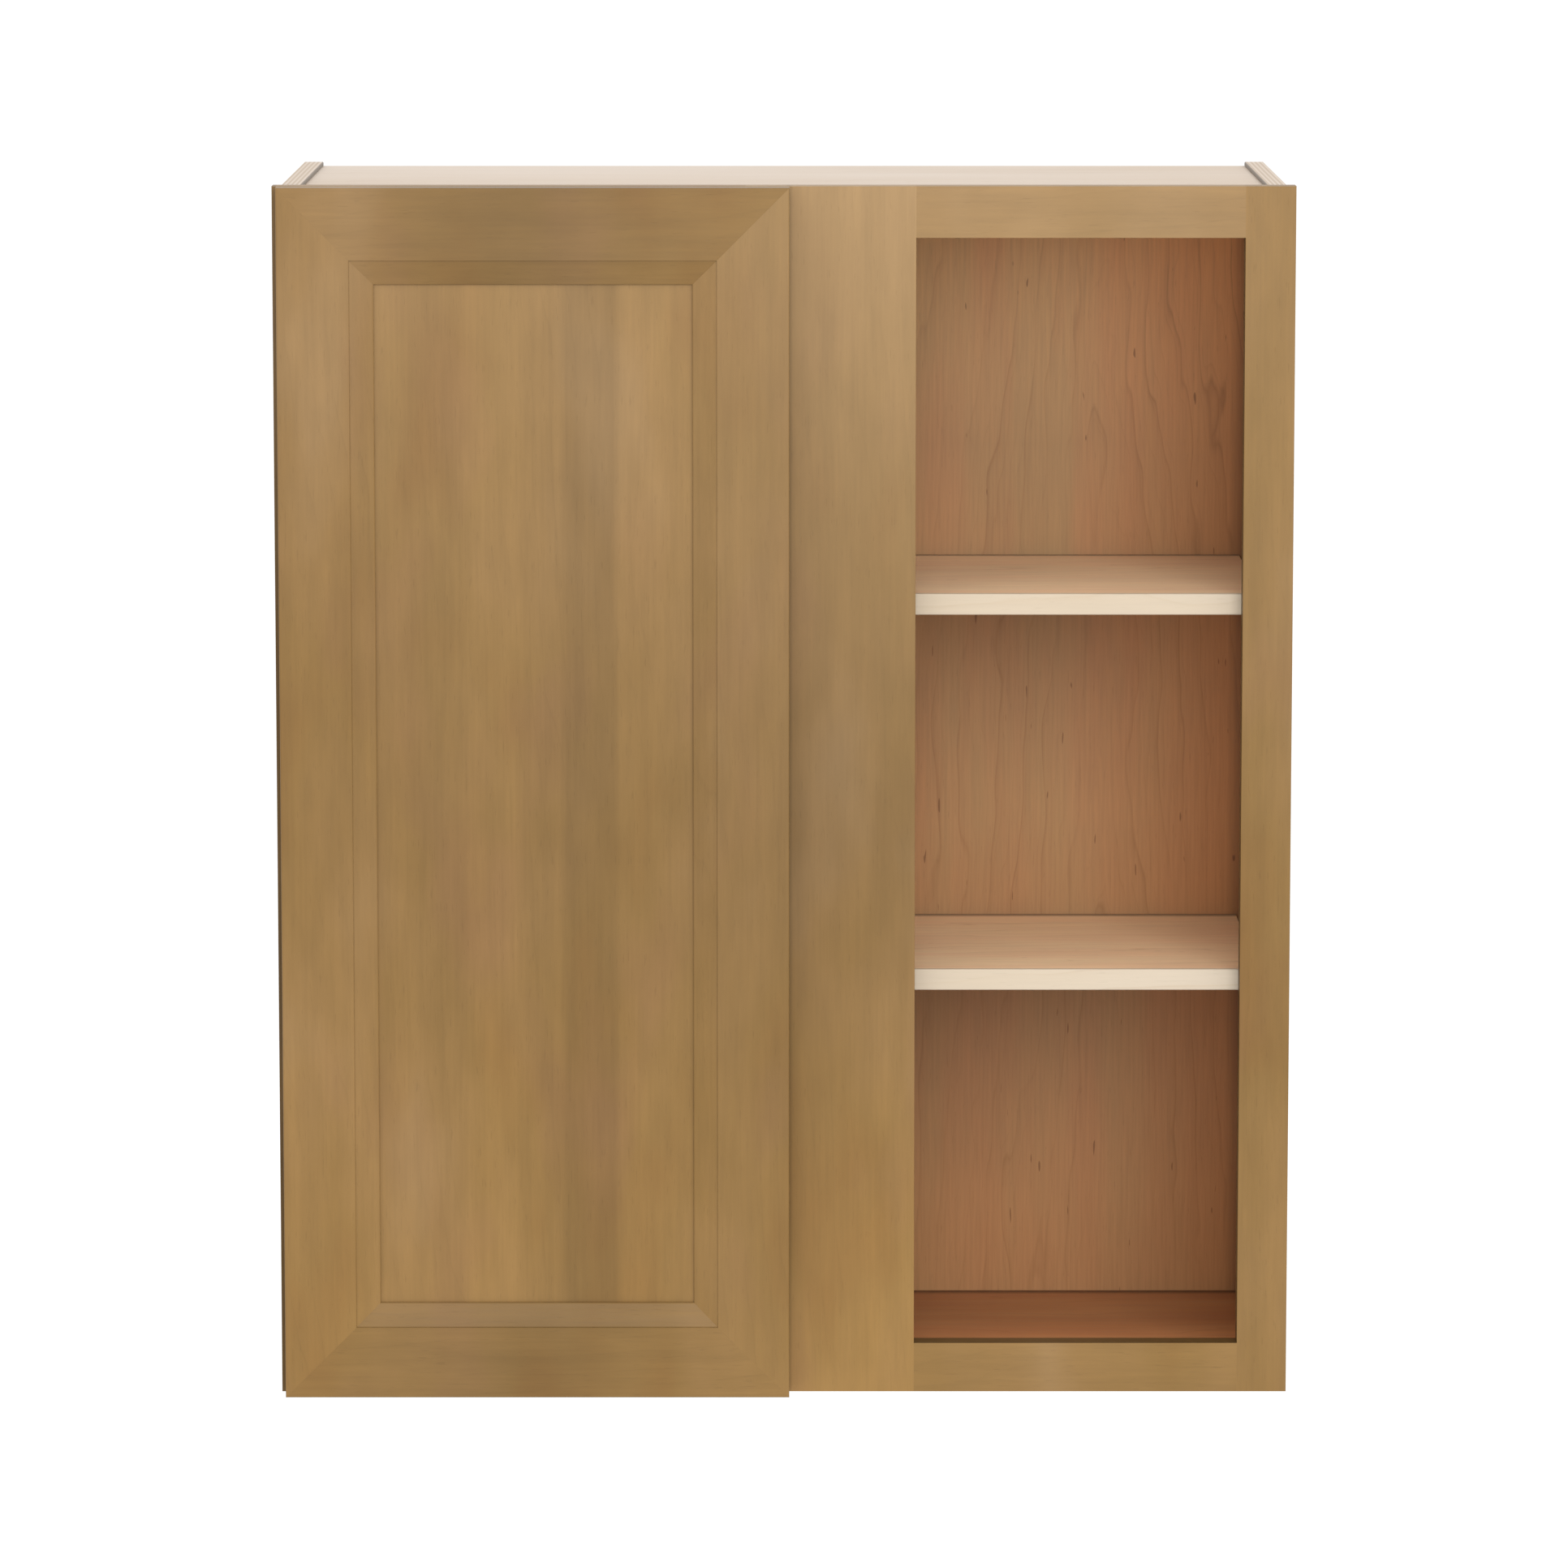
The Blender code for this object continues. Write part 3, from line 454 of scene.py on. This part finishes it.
# Darker and redder, for the floor: painted shade.
SHADED_FLOOR_VENEER = {"rosy": (0.395, 0.162, 0.066), "mid": (0.415, 0.183, 0.074),
                "light": (0.440, 0.204, 0.083), "line": (0.220, 0.080, 0.025),
                "fleck": (0.090, 0.028, 0.009)}
PALE = {"warm": shown(227, 207, 186, ON_TOP), "light": shown(236, 219, 202, ON_TOP),
        "line": shown(200, 174, 146, ON_TOP), "end_grain": shown(196, 170, 138, ON_TOP)}
NOSING = {"warm": shown(226, 206, 178, ON_NOSING), "light": shown(232, 215, 192, ON_NOSING),
          "line": shown(206, 178, 142, ON_NOSING)}


# ----------------------------------------------------------------------- mesh tools
def keep_broad_faces_flat(mesh):
    """Smooth shading only on roundings, so that it never bleeds across a flat face."""
    for face in mesh.polygons:
        corners = [mesh.vertices[index].co for index in face.vertices]
        longest = max((a - b).length for a, b in zip(corners, corners[1:] + corners[:1]))
        face.use_smooth = face.area < BROAD * longest


def new_piece(name, bm, materials, body, nodes):
    """Turns a bmesh into a piece that rides on a body and stands for CAD nodes."""
    mesh = bpy.data.meshes.new(name)
    bmesh.ops.recalc_face_normals(bm, faces=bm.faces)
    bm.to_mesh(mesh)
    bm.free()
    piece = bpy.data.objects.new(name, mesh)
    bpy.context.scene.collection.objects.link(piece)
    for material in materials:
        mesh.materials.append(material)
    mesh.shade_smooth()
    mesh.set_sharp_from_angle(angle=math.radians(32))
    keep_broad_faces_flat(mesh)
    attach(piece, body)
    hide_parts(*nodes)


def box_mesh(low, high):
    """A block between two corners."""
    bm = bmesh.new()
    low, high = Vector(low), Vector(high)
    matrix = Matrix.Translation((low + high) / 2) @ Matrix.Diagonal((*(high - low), 1.0))
    bmesh.ops.create_cube(bm, size=1.0, matrix=matrix)
    return bm


def round_edges(bm, radius, segments=3, keep=lambda middle, along: True):
    """Rounds the edges that keep() accepts, given each edge's middle and direction."""
    chosen = []
    for edge in bm.edges:
        a, b = (vert.co for vert in edge.verts)
        if edge.calc_face_angle(0.0) > 0.5 and keep((a + b) / 2, (b - a).normalized()):
            chosen.append(edge)
    bmesh.ops.bevel(bm, geom=chosen, offset=radius, segments=segments, profile=0.5,
                    affect="EDGES", clamp_overlap=True)


def paint_by_direction(bm, rules):
    """Gives each face the material number of the first rule whose test it passes."""
    bm.normal_update()
    for face in bm.faces:
        for test, number in rules:
            if test(face.normal, face.calc_center_median()):
                face.material_index = number
                break


def copied_mesh(node):
    """The CAD node's own shape, with its triangles joined back into flat faces."""
    bm = bmesh.new()
    bm.from_mesh(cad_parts[node].data)
    bmesh.ops.remove_doubles(bm, verts=bm.verts, dist=WELD)
    bmesh.ops.dissolve_limit(bm, angle_limit=math.radians(0.5), verts=bm.verts, edges=bm.edges)
    return bm


# ----------------------------------------------------------------------- face frame
# Name, seed of the grain, tone, and how much lighter the top and the bottom are painted: painted
# light from above and from the floor.
FRAME_STILES = (("left_stile", 0.0, 1.0, 0.24, 0.13), ("mid_stile", 2.3, 0.89, 0.52, 0.54),
                ("right_stile", 4.1, 1.01, 0.12, 0.07))
# Name, seed of the grain, tone, and how much lighter the top is painted: painted light from above.
FRAME_RAILS = (("door_bay_top_rail", 6.0, 1.0, 0.24), ("door_bay_bottom_rail", 7.0, 1.0, 0.24),
               ("blind_bay_top_rail", 8.0, 0.92, 0.34), ("blind_bay_bottom_rail", 9.0, 0.98, 0.24))
# Painted shadow lines beside the closed door's edges, where the door shades the frame: rows of
# (centre, half width, soft edge, tone).
DOOR_SHADOW_LINES = {"left_stile": [(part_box("left_stile")[0].x, 0.0030, 0.0006, 0.60)],
              "mid_stile": [(DOOR_HIGH.x, 0.0014, 0.0014, 0.80)]}


def split_at(bm, height):
    """Cuts the mesh's faces along a level plane, so that each side can be treated apart."""
    everything = bm.verts[:] + bm.edges[:] + bm.faces[:]
    bmesh.ops.bisect_plane(bm, geom=everything, dist=WELD / 2, plane_co=(0, 0, height),
                           plane_no=(0, 0, 1))


def screws(kind):
    """Names of the CAD screws of both hinges' cups or arms."""
    return [f"{kind}_screw_{place}_{end}" for place in ("upper", "lower")
            for end in ("top", "bottom")]


def is_eased(middle, along):
    """Whether a stile's edge is eased: on the front, but not where a rail butts flush."""
    beside_opening = OPENING_LOW < middle.z < OPENING_HIGH
    free = abs(along.z) < 0.9 or abs(middle.x) > OUTER_EDGE or beside_opening
    return middle.y < FRONT + ON_FACE and free


def frame_stiles():
    """Stiles run the full height. The edges inside the openings are darker: painted shade."""
    for node, seed, tone, *painted_lifts in FRAME_STILES:
        low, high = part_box(node)
        bm = box_mesh(low, high)
        split_at(bm, OPENING_LOW)
        split_at(bm, OPENING_HIGH)
        round_edges(bm, INNER_ROUNDING, keep=is_eased)
        inner = []
        if node != "left_stile":
            inner.append((lambda normal, centre: normal.x < -0.9 and centre.x < low.x + ON_FACE, 1))
        if node != "right_stile":
            inner.append((lambda normal, centre: normal.x > 0.9 and centre.x > high.x - ON_FACE, 1))
        paint_by_direction(bm, inner + [(lambda normal, centre: True, 0)])
        if node == "left_stile":
            bm = carved(bm, [pilot_hole(screw, "x") for screw in screws("arm")])
        face = stained_maple(f"stain_{node}", "z", seed, tone, DOOR_SHADOW_LINES.get(node), *painted_lifts)
        edge = stained_maple(f"stain_{node}_edge", "z", seed + 0.5, EDGE_SHADE_TONE)
        new_piece(f"frame_{node}", bm, [face, edge], "cabinet", [node])


def frame_rails():
    """Rails butt between the stiles, sanded flush with them."""
    reach = Vector((RAIL_GAP - SEAM, 0.0, 0.0))
    for node, seed, tone, painted_lift in FRAME_RAILS:
        low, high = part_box(node)
        bm = box_mesh(low - reach, high + reach)
        round_edges(bm, INNER_ROUNDING, keep=lambda middle, along: abs(along.x) > 0.9)
        # The rail's face towards the opening gets the darker edge material: painted shade.
        inner = -1 if "top" in node else 1
        paint_by_direction(bm, [(lambda normal, centre: normal.z * inner > 0.9, 1),
                                (lambda normal, centre: True, 0)])
        face = stained_maple(f"stain_{node}", "x", seed, tone, None, painted_lift)
        edge = stained_maple(f"stain_{node}_edge", "x", seed + 0.5, EDGE_SHADE_TONE)
        new_piece(f"frame_{node}", bm, [face, edge], "cabinet", [node])


# ----------------------------------------------------------------------------- door
# Direction and seed of the grain, tone, and how much lighter the top and the bottom are painted:
# painted light from above and from the floor.
DOOR_STAIN = {"door_left_stile": ("z", 11.0, 1.03, 0.04, 0.19),
              "door_right_stile": ("z", 12.7, 0.92, 0.30, 0.26),
              "door_top_rail": ("x", 14.2, 1.04, 0.06, 0.13),
              "door_bottom_rail": ("x", 15.9, 1.0, 0.24, 0.13),
              "door_panel": ("z", 17.3, 0.98, 0.25, 0.22)}
# Glued-up boards of the door's panel, as shares of its width: centre, half width,
# soft edge, and tone.
PANEL_BOARDS = ((0.08, 0.06, 0.03, 1.02), (0.21, 0.06, 0.03, 0.97), (0.375, 0.080, 0.015, 1.07),
                (0.55, 0.04, 0.02, 0.96), (0.665, 0.080, 0.012, 0.84), (0.88, 0.08, 0.05, 1.03))
# The door's rails are darker in the middle of their length, as shares of the door's width.
RAIL_SHADE = ((0.50, 0.27, 0.20, 0.76),)


def door_section():
    """Section of a door member: (in from the outer edge, back from the face)."""
    arc = [(DOOR_ROUNDING * (1 - math.cos(t)), DOOR_ROUNDING * (1 - math.sin(t)))
           for t in (math.radians(step * 15) for step in range(7))]
    back = [(DOOR_MEMBER, DOOR_THICK), (ROUNDING, DOOR_THICK), (0.0, DOOR_THICK - ROUNDING)]
    face = [(DOOR_FLAT - INNER_ROUNDING, 0.0), (DOOR_FLAT, INNER_ROUNDING), (DOOR_FLAT, QUIRK),
            (DOOR_FLAT + QUIRK_W, QUIRK)]
    slope = [(DOOR_MEMBER - 2 * INNER_ROUNDING, BEVEL_FOOT - FOOT_EASE),
             (DOOR_MEMBER, BEVEL_FOOT + INNER_ROUNDING)]
    groove_floor = DOOR_MEMBER - GROOVE_DEEP
    groove_front, groove_back = PANEL_FRONT - PANEL_PLAY, PANEL_BACK + 2 * PANEL_PLAY
    groove = [(DOOR_MEMBER, groove_front), (groove_floor, groove_front),
              (groove_floor, groove_back), (DOOR_MEMBER, groove_back)]
    return arc + face + slope + groove + back


def cup_seat(place):
    """A cutter for the hole that a hinge cup sits in."""
    low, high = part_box(f"hinge_cup_{place}")
    radius = CUP_RADIUS + FIT_GAP
    length = DOOR_HIGH.y - low.y + PAST_BACK
    seat = turned_mesh([(0.0, -FIT_GAP), (radius, -FIT_GAP), (radius, length), (0.0, length)])
    return aimed(seat, "y", ((low.x + high.x) / 2, low.y, (low.z + high.z) / 2))


def door_member(name, edge_middle, inward, length, nodes, material, cutters):
    """A moulded member with both ends mitred at 45 degrees, from the middle of its outer
    edge and the direction to the door's middle."""
    back = Vector((0.0, 1.0, 0.0))
    along = inward.cross(back)
    bm = bmesh.new()
    ends = []
    for side in (-1, 1):
        ring = []
        for inset, depth in door_section():
            reach = side * (length / 2 - inset - SEAM)
            point = Vector(edge_middle) + inward * inset + back * depth + along * reach
            ring.append(bm.verts.new(point))
        ends.append(ring)
        bm.faces.new(ring)
    first, second = ends
    for i, vert in enumerate(first):
        j = (i + 1) % len(first)
        bm.faces.new((vert, first[j], second[j], second[i]))
    if cutters:
        bm = carved(bm, cutters)
    new_piece(name, bm, [material], "door", nodes)


def boards_across(low_x, high_x, shares):
    """Rows of board tones from shares of the width between two places."""
    span = high_x - low_x
    return [(low_x + span * centre, span * half, span * soft, tone)
            for centre, half, soft, tone in shares]


def door_frame():
    """Two stiles and two rails, mitred. The left stile has seats for the hinge cups."""
    width, height = DOOR_HIGH.x - DOOR_LOW.x, DOOR_HIGH.z - DOOR_LOW.z
    middle = (DOOR_LOW + DOOR_HIGH) / 2
    right, up = Vector((1, 0, 0)), Vector((0, 0, 1))
    shade = boards_across(DOOR_LOW.x, DOOR_HIGH.x, RAIL_SHADE)
    members = (("door_left_stile", DOOR_LOW.x, middle.z, right, height, None),
               ("door_right_stile", DOOR_HIGH.x, middle.z, -right, height, None),
               ("door_top_rail", middle.x, DOOR_HIGH.z, -up, width, shade),
               ("door_bottom_rail", middle.x, DOOR_LOW.z, up, width, shade))
    for node, x, z, inward, length, boards_and_shade in members:
        grain, seed, tone, *painted_lifts = DOOR_STAIN[node]
        seats = []
        if node == "door_left_stile":
            seats = [cup_seat(end) for end in ("upper", "lower")]
            seats += [pilot_hole(screw, "y") for screw in screws("cup")]
        stain = stained_maple(f"stain_{node}", grain, seed, tone, boards_and_shade, *painted_lifts)
        place = (x, DOOR_LOW.y, z)
        door_member(f"moulded_{node}", place, inward, length, [node], stain, seats)


def door_panel():
    """The flat panel, glued up from boards of slightly different tone."""
    low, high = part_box("door_panel")
    bm = box_mesh(low, high)
    round_edges(bm, PANEL_ROUNDING, 2)
    grain, seed, tone, *painted_lifts = DOOR_STAIN["door_panel"]
    boards_and_shade = boards_across(low.x, high.x, PANEL_BOARDS)
    stain = stained_maple("stain_door_panel", grain, seed, tone, boards_and_shade, *painted_lifts)
    new_piece("door_flat_panel", bm, [stain], "door", ["door_panel"])


# ---------------------------------------------------------------------- box, shelves
BACK_HEART = 0.24            # where across the back panel its grain arches
BACK_CORNER_SHADE = (0.22, 0.37)   # between these places the back panel turns redder: painted shade by the right side
# Painted shade and painted light on the veneer: axis, from, to, and tone at the end.
REAR_SHADE = ("y", BACK_FACE - 0.016, BACK_FACE - 0.006, 0.32)
FLOOR_FRONT_LIGHT = ("y", BOX_FRONT + 0.16, BOX_FRONT, 1.65)
BACK_SHADE = ("x", BAY_EDGE + 0.0056, BAY_EDGE + 0.0171, 0.55)


def plywood_piece(name, node, body, faces, across, plies, shaded_lip=None):
    """A copy of a CAD panel with veneer on its faces and plies on its cut edges.
    faces gives the material on the low and high side of the thickness axis. The last
    argument is a material for what stands above the cabinet's top, on the side that faces
    inwards; it is dark: painted shade."""
    low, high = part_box(node)
    index = "xyz".index(across)
    thickness = high[index] - low[index]
    edge = ply_edge(f"plies_{name}", across, low[index], plies, thickness)
    bm = copied_mesh(node)
    rules = [(lambda normal, centre: normal[index] < -0.9, 0),
             (lambda normal, centre: normal[index] > 0.9, 1),
             (lambda normal, centre: True, 2)]
    materials = [faces[0], faces[1], edge]
    if shaded_lip:
        split_at(bm, BOX_TOP)
        inwards = (lambda normal, centre: centre.z > BOX_TOP and normal.x * centre.x < -0.2, 3)
        rules.insert(0, inwards)
        materials.append(shaded_lip)
    paint_by_direction(bm, rules)
    new_piece(name, bm, materials, body, [node])


def cabinet_box():
    """Sides stained outside, and clear veneer inside; what faces the wall is left raw."""
    # The sides' inner faces are darker: painted shade.
    inside_left = clear_maple("veneer_left_side", "z", 21.0, SHADED_SIDE_VENEER)
    inside_right = clear_maple("veneer_right_side", "z", 22.0, SHADED_SIDE_VENEER)
    outside_left = stained_maple("stain_left_side", "z", 23.0)
    outside_right = stained_maple("stain_right_side", "z", 24.0)
    raw_top = raw_maple("raw_top", "x", 25.0)
    raw_back = raw_maple("raw_back", "z", 26.0, 0.96)
    raw_bottom = raw_maple("raw_bottom", "x", 28.0)
    # The sides' lip above the top is dark: painted shade.
    shaded_lip = raw_maple("shaded_raw_side_lip", "z", 30.0, 0.36)
    ceiling = clear_maple("veneer_ceiling", "x", 27.0)
    # The floor: darker and redder, painted shade; lighter towards the front, painted light; darker
    # at the rear edge, painted shadow.
    floor = clear_maple("veneer_floor", "x", 29.0, SHADED_FLOOR_VENEER, light_and_shade_fades=[FLOOR_FRONT_LIGHT, REAR_SHADE])
    # The back: painted shade, redder near the right side and low down and darker at its right end;
    # painted light, lighter near the top.
    back = clear_maple("veneer_back", "z", 0.0, VENEER, BACK_HEART, BACK_CORNER_SHADE,
                       light_and_shade_fades=[BACK_SHADE])
    panels = (("left_ply_side", "left_side", (outside_left, inside_left), "x", SIDE_PLIES, shaded_lip),
              ("right_ply_side", "right_side", (inside_right, outside_right), "x", SIDE_PLIES, shaded_lip),
              ("top_ply_panel", "top_panel", (ceiling, raw_top), "z", SIDE_PLIES, None),
              ("bottom_ply_panel", "bottom_panel", (raw_bottom, floor), "z", SIDE_PLIES, None),
              ("back_ply_panel", "back_panel", (back, raw_back), "y", BACK_PLIES, None))
    for name, node, faces, across, plies, above in panels:
        plywood_piece(name, node, "cabinet", faces, across, plies, above)


def wall_rails():
    """The two rails behind the back that the cabinet hangs by."""
    for place in ("upper", "lower"):
        node = f"{place}_hanging_rail"
        low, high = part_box(node)
        bm = box_mesh(low, high)
        round_edges(bm, WALL_RAIL_ROUNDING, 2)
        raw = raw_maple(f"raw_{node}", "x", 31.0 + low.z, 0.9)
        new_piece(f"{place}_wall_rail", bm, [raw], "cabinet", [node])


def shelves():
    """Two loose shelves, each with a pale strip glued along its front."""
    for seed, place, tone in ((0.0, "upper", 1.06), (1.0, "lower", 0.97)):
        node = f"shelf_{place}"
        # The shelves' veneer is lighter: painted light; the top also gets a painted shadow along
        # the rear edge.
        top = clear_maple(f"veneer_{node}_top", "x", 40.0 + seed, LIT_SHELF_VENEER, tone=tone,
                          light_and_shade_fades=[REAR_SHADE])
        under = clear_maple(f"veneer_{node}_under", "x", 44.0 + seed, LIT_SHELF_VENEER)
        plywood_piece(f"{node}_board", node, node, (under, top), "z", SIDE_PLIES)
        low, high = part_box(f"{node}_nosing")
        high.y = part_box(node)[0].y - SEAM
        bm = box_mesh(low, high)
        round_edges(bm, ROUNDING, keep=lambda middle, along: middle.y < low.y + ON_FACE)
        strip = raw_maple(f"raw_{node}_strip", "x", 50.0 + seed, 1.0, NOSING)
        new_piece(f"{node}_front_strip", bm, [strip], node, [f"{node}_nosing"])


# ------------------------------------------------------------------------- hardware
def turned_mesh(profile, steps=48):
    """A closed turned form about Z from (radius, height) points, axis to axis."""
    bm = bmesh.new()
    points = [bm.verts.new((radius, 0.0, height)) for radius, height in profile]
    edges = [bm.edges.new(pair) for pair in zip(points, points[1:])]
    bmesh.ops.spin(bm, geom=points + edges, axis=(0, 0, 1), cent=(0, 0, 0), steps=steps,
                   angle=math.tau, use_duplicate=False)
    bmesh.ops.remove_doubles(bm, verts=bm.verts, dist=WELD)
    return bm


def carved(bm, cutters):
    """The mesh with each cutter taken out of it."""
    def temporary(mesh_bm):
        bmesh.ops.recalc_face_normals(mesh_bm, faces=mesh_bm.faces)
        mesh = bpy.data.meshes.new("carving")
        mesh_bm.to_mesh(mesh)
        mesh_bm.free()
        obj = bpy.data.objects.new("carving", mesh)
        bpy.context.scene.collection.objects.link(obj)
        return obj
    target = temporary(bm)
    tools = [temporary(cutter) for cutter in cutters]
    for tool in tools:
        cut = target.modifiers.new("cut", "BOOLEAN")
        cut.operation = "DIFFERENCE"
        cut.object = tool
    view = bpy.context.evaluated_depsgraph_get()
    result = bmesh.new()
    result.from_mesh(target.evaluated_get(view).to_mesh())
    for obj in [target] + tools:
        bpy.data.objects.remove(obj)
    return result


def aimed(bm, axis, place):
    """Turns a mesh that was built about Z to lie along the axis, and moves it into place."""
    towards = Vector([float(axis == letter) for letter in "xyz"])
    turn = Vector((0, 0, 1)).rotation_difference(towards).to_matrix().to_4x4()
    bmesh.ops.transform(bm, matrix=Matrix.Translation(place) @ turn, verts=bm.verts)
    return bm


def pilot_hole(node, axis):
    """A cutter for the hole that a screw's shank sits in."""
    low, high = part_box(node)
    index = "xyz".index(axis)
    place = (low + high) / 2
    place[index] = low[index] - FIT_GAP
    radius = max(high[i] - low[i] for i in range(3) if i != index) / 2 * SHANK_SHARE + FIT_GAP
    length = high[index] - place[index]
    hole = turned_mesh([(0.0, 0.0), (radius, 0.0), (radius, length), (0.0, length)], 24)
    return aimed(hole, axis, place)


def phillips_screw(name, node, axis, body, material):
    """A pan-head screw with a cross recess, where the CAD's plain screw is."""
    low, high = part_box(node)
    index = "xyz".index(axis)
    middle = (low + high) / 2
    head = max(high[i] - low[i] for i in range(3) if i != index) / 2
    length, shank = high[index] - low[index], head * SHANK_SHARE
    root, tip = shank * ROOT_SHARE, SCREW_HEAD_T - length
    dome = [(head * math.cos(t), SCREW_RIM + (SCREW_HEAD_T - SCREW_RIM) * math.sin(t))
            for t in (math.radians(step * 15) for step in range(6))]
    profile = [(0.0, tip), (shank * 0.5, tip + SCREW_POINT)]
    for turn in range(int((length - THREAD_MARGIN) / THREAD_PITCH)):
        start = tip + SCREW_POINT + THREAD_FREE + turn * THREAD_PITCH
        profile += [(root, start), (shank, start + THREAD_PITCH / 2)]
    profile += [(root, -NECK), (shank, 0.0), (head, 0.0)] + dome
    profile += [(0.0, SCREW_HEAD_T)]
    bm = turned_mesh(profile, 32)
    cutters = []
    for turn in (0.0, math.pi / 2):
        wing = box_mesh((-head * 0.52, -head * 0.11, SCREW_HEAD_T - RECESS_DEEP),
                        (head * 0.52, head * 0.11, SCREW_HEAD_T + RECESS_DEEP))
        for vert in wing.verts:
            if vert.co.z < SCREW_HEAD_T:
                vert.co.x *= 0.45
        bmesh.ops.rotate(wing, verts=wing.verts, matrix=Matrix.Rotation(turn + 0.4, 3, "Z"))
        cutters.append(wing)
    bm = carved(bm, cutters)
    middle[index] = high[index] - SCREW_HEAD_T
    new_piece(name, aimed(bm, axis, middle), [material], body, [node])


def domed_bumper(name, node, body, material):
    """A soft hemispherical pad stuck on the door's back."""
    low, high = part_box(node)
    radius, height = (high.x - low.x) / 2, high.y - low.y
    dome = [(radius * (0.35 + 0.65 * math.cos(t)), height * (0.35 + 0.65 * math.sin(t)))
            for t in (math.radians(step * 10) for step in range(10))]
    bm = turned_mesh([(0.0, 0.0), (radius * 0.97, 0.0)] + dome + [(0.0, height)])
    place = ((low.x + high.x) / 2, low.y, (low.z + high.z) / 2)
    new_piece(name, aimed(bm, "y", place), [material], body, [node])


def softened(name, node, radius, body, material):
    """The CAD part's own shape with its sharp edges broken."""
    bm = copied_mesh(node)
    round_edges(bm, radius, 2)
    new_piece(name, bm, [material], body, [node])


def hardware():
    """Hinges, their screws, the door's bumpers and the shelf pins."""
    nickel = metal("nickel_plate", (0.50, 0.48, 0.45), 0.27)
    zinc = metal("zinc_plate", (0.42, 0.42, 0.41), 0.33, "z")
    rubber = soft_rubber("bumper_rubber")
    for place in ("upper", "lower"):
        softened(f"plated_cup_{place}", f"hinge_cup_{place}", CUP_ROUNDING, "door", nickel)
        softened(f"plated_arm_{place}", f"hinge_arm_{place}", ARM_ROUNDING, "cabinet", nickel)
        softened(f"plated_pin_{place}", f"hinge_pin_{place}", PIN_ROUNDING, "door", nickel)
        domed_bumper(f"soft_bumper_{place}", f"door_bumper_{place}", "door", rubber)
        for end in ("top", "bottom"):
            tail = f"{place}_{end}"
            phillips_screw(f"cup_fixing_{tail}", f"cup_screw_{tail}", "y", "door", zinc)
            phillips_screw(f"arm_fixing_{tail}", f"arm_screw_{tail}", "x", "cabinet", zinc)
        for side in ("left", "right"):
            for row in ("front", "back"):
                softened(f"shelf_rest_{place}_{side}_{row}", f"{place}_pin_{side}_{row}",
                         PIN_ROUNDING, "cabinet", nickel)


# --------------------------------------------------------------------------- studio
FLOOR_DROP = 1.37            # from the cabinet's bottom to the room's floor
EYE_DISTANCE = 5.80          # from the face frame to the lens
EYE_ABOVE_TOP = 0.364
AIM_ABOVE_MIDDLE = 0.0086
LENS_MM = 179.0
SENSOR_MM = 36.0
LAMP_PLACE = (0.8, -4.6, 1.3)
LAMP_SIZE = 2.6
LAMP_POWER = 125.0
AIR_LIGHT = 1.15             # even light from all around
FLOOR_REACH = 300.0          # from the floor's middle to its rim


def aim_at(obj, target):
    """Turns a lamp or camera to look at a place."""
    towards = Vector(target) - obj.location
    obj.rotation_euler = towards.to_track_quat("-Z", "Y").to_euler()


def studio_floor():
    """A plain pale floor, far enough below for a cabinet that hangs on a wall."""
    shader = Shader("studio_floor")
    mottle = shader.noise(shader.place(), 3.0, 3.0, 0.5)
    shader.finish(shader.mix(mottle, (0.92, 0.92, 0.92), (0.95, 0.95, 0.95)), 0.9)
    bm = bmesh.new()
    bmesh.ops.create_grid(bm, x_segments=1, y_segments=1, size=FLOOR_REACH,
                          matrix=Matrix.Translation((0, 0, BOTTOM - FLOOR_DROP)))
    mesh = bpy.data.meshes.new("studio_floor")
    bm.to_mesh(mesh)
    bm.free()
    mesh.materials.append(shader.material)
    floor = bpy.data.objects.new("studio_floor", mesh)
    bpy.context.scene.collection.objects.link(floor)


def studio_light():
    """Even white air, and one large soft lamp in front."""
    scene = bpy.context.scene
    world = bpy.data.worlds.new("studio_air")
    scene.world = world
    world.use_nodes = True
    background = world.node_tree.nodes["Background"]
    background.inputs["Color"].default_value = (1.0, 1.0, 1.0, 1.0)
    background.inputs["Strength"].default_value = AIR_LIGHT
    lamp = bpy.data.lights.new("key", "AREA")
    lamp.size = LAMP_SIZE
    lamp.energy = LAMP_POWER
    key = bpy.data.objects.new("key", lamp)
    scene.collection.objects.link(key)
    key.location = LAMP_PLACE
    aim_at(key, (0.0, FRONT, MIDDLE_Z))


def photo_camera():
    """The camera stands in front, above the cabinet's top, and looks slightly down."""
    scene = bpy.context.scene
    camera = bpy.data.cameras.new("photo_camera")
    camera.lens = LENS_MM
    camera.sensor_width = SENSOR_MM
    eye = bpy.data.objects.new("photo_camera", camera)
    scene.collection.objects.link(eye)
    eye.location = (0.0, FRONT - EYE_DISTANCE, TOP + EYE_ABOVE_TOP)
    aim_at(eye, (0.0, FRONT, MIDDLE_Z + AIM_ABOVE_MIDDLE))
    scene.camera = eye
    scene.view_settings.view_transform = "Standard"


frame_stiles()
frame_rails()
door_frame()
door_panel()
cabinet_box()
wall_rails()
shelves()
hardware()
studio_floor()
studio_light()
photo_camera()
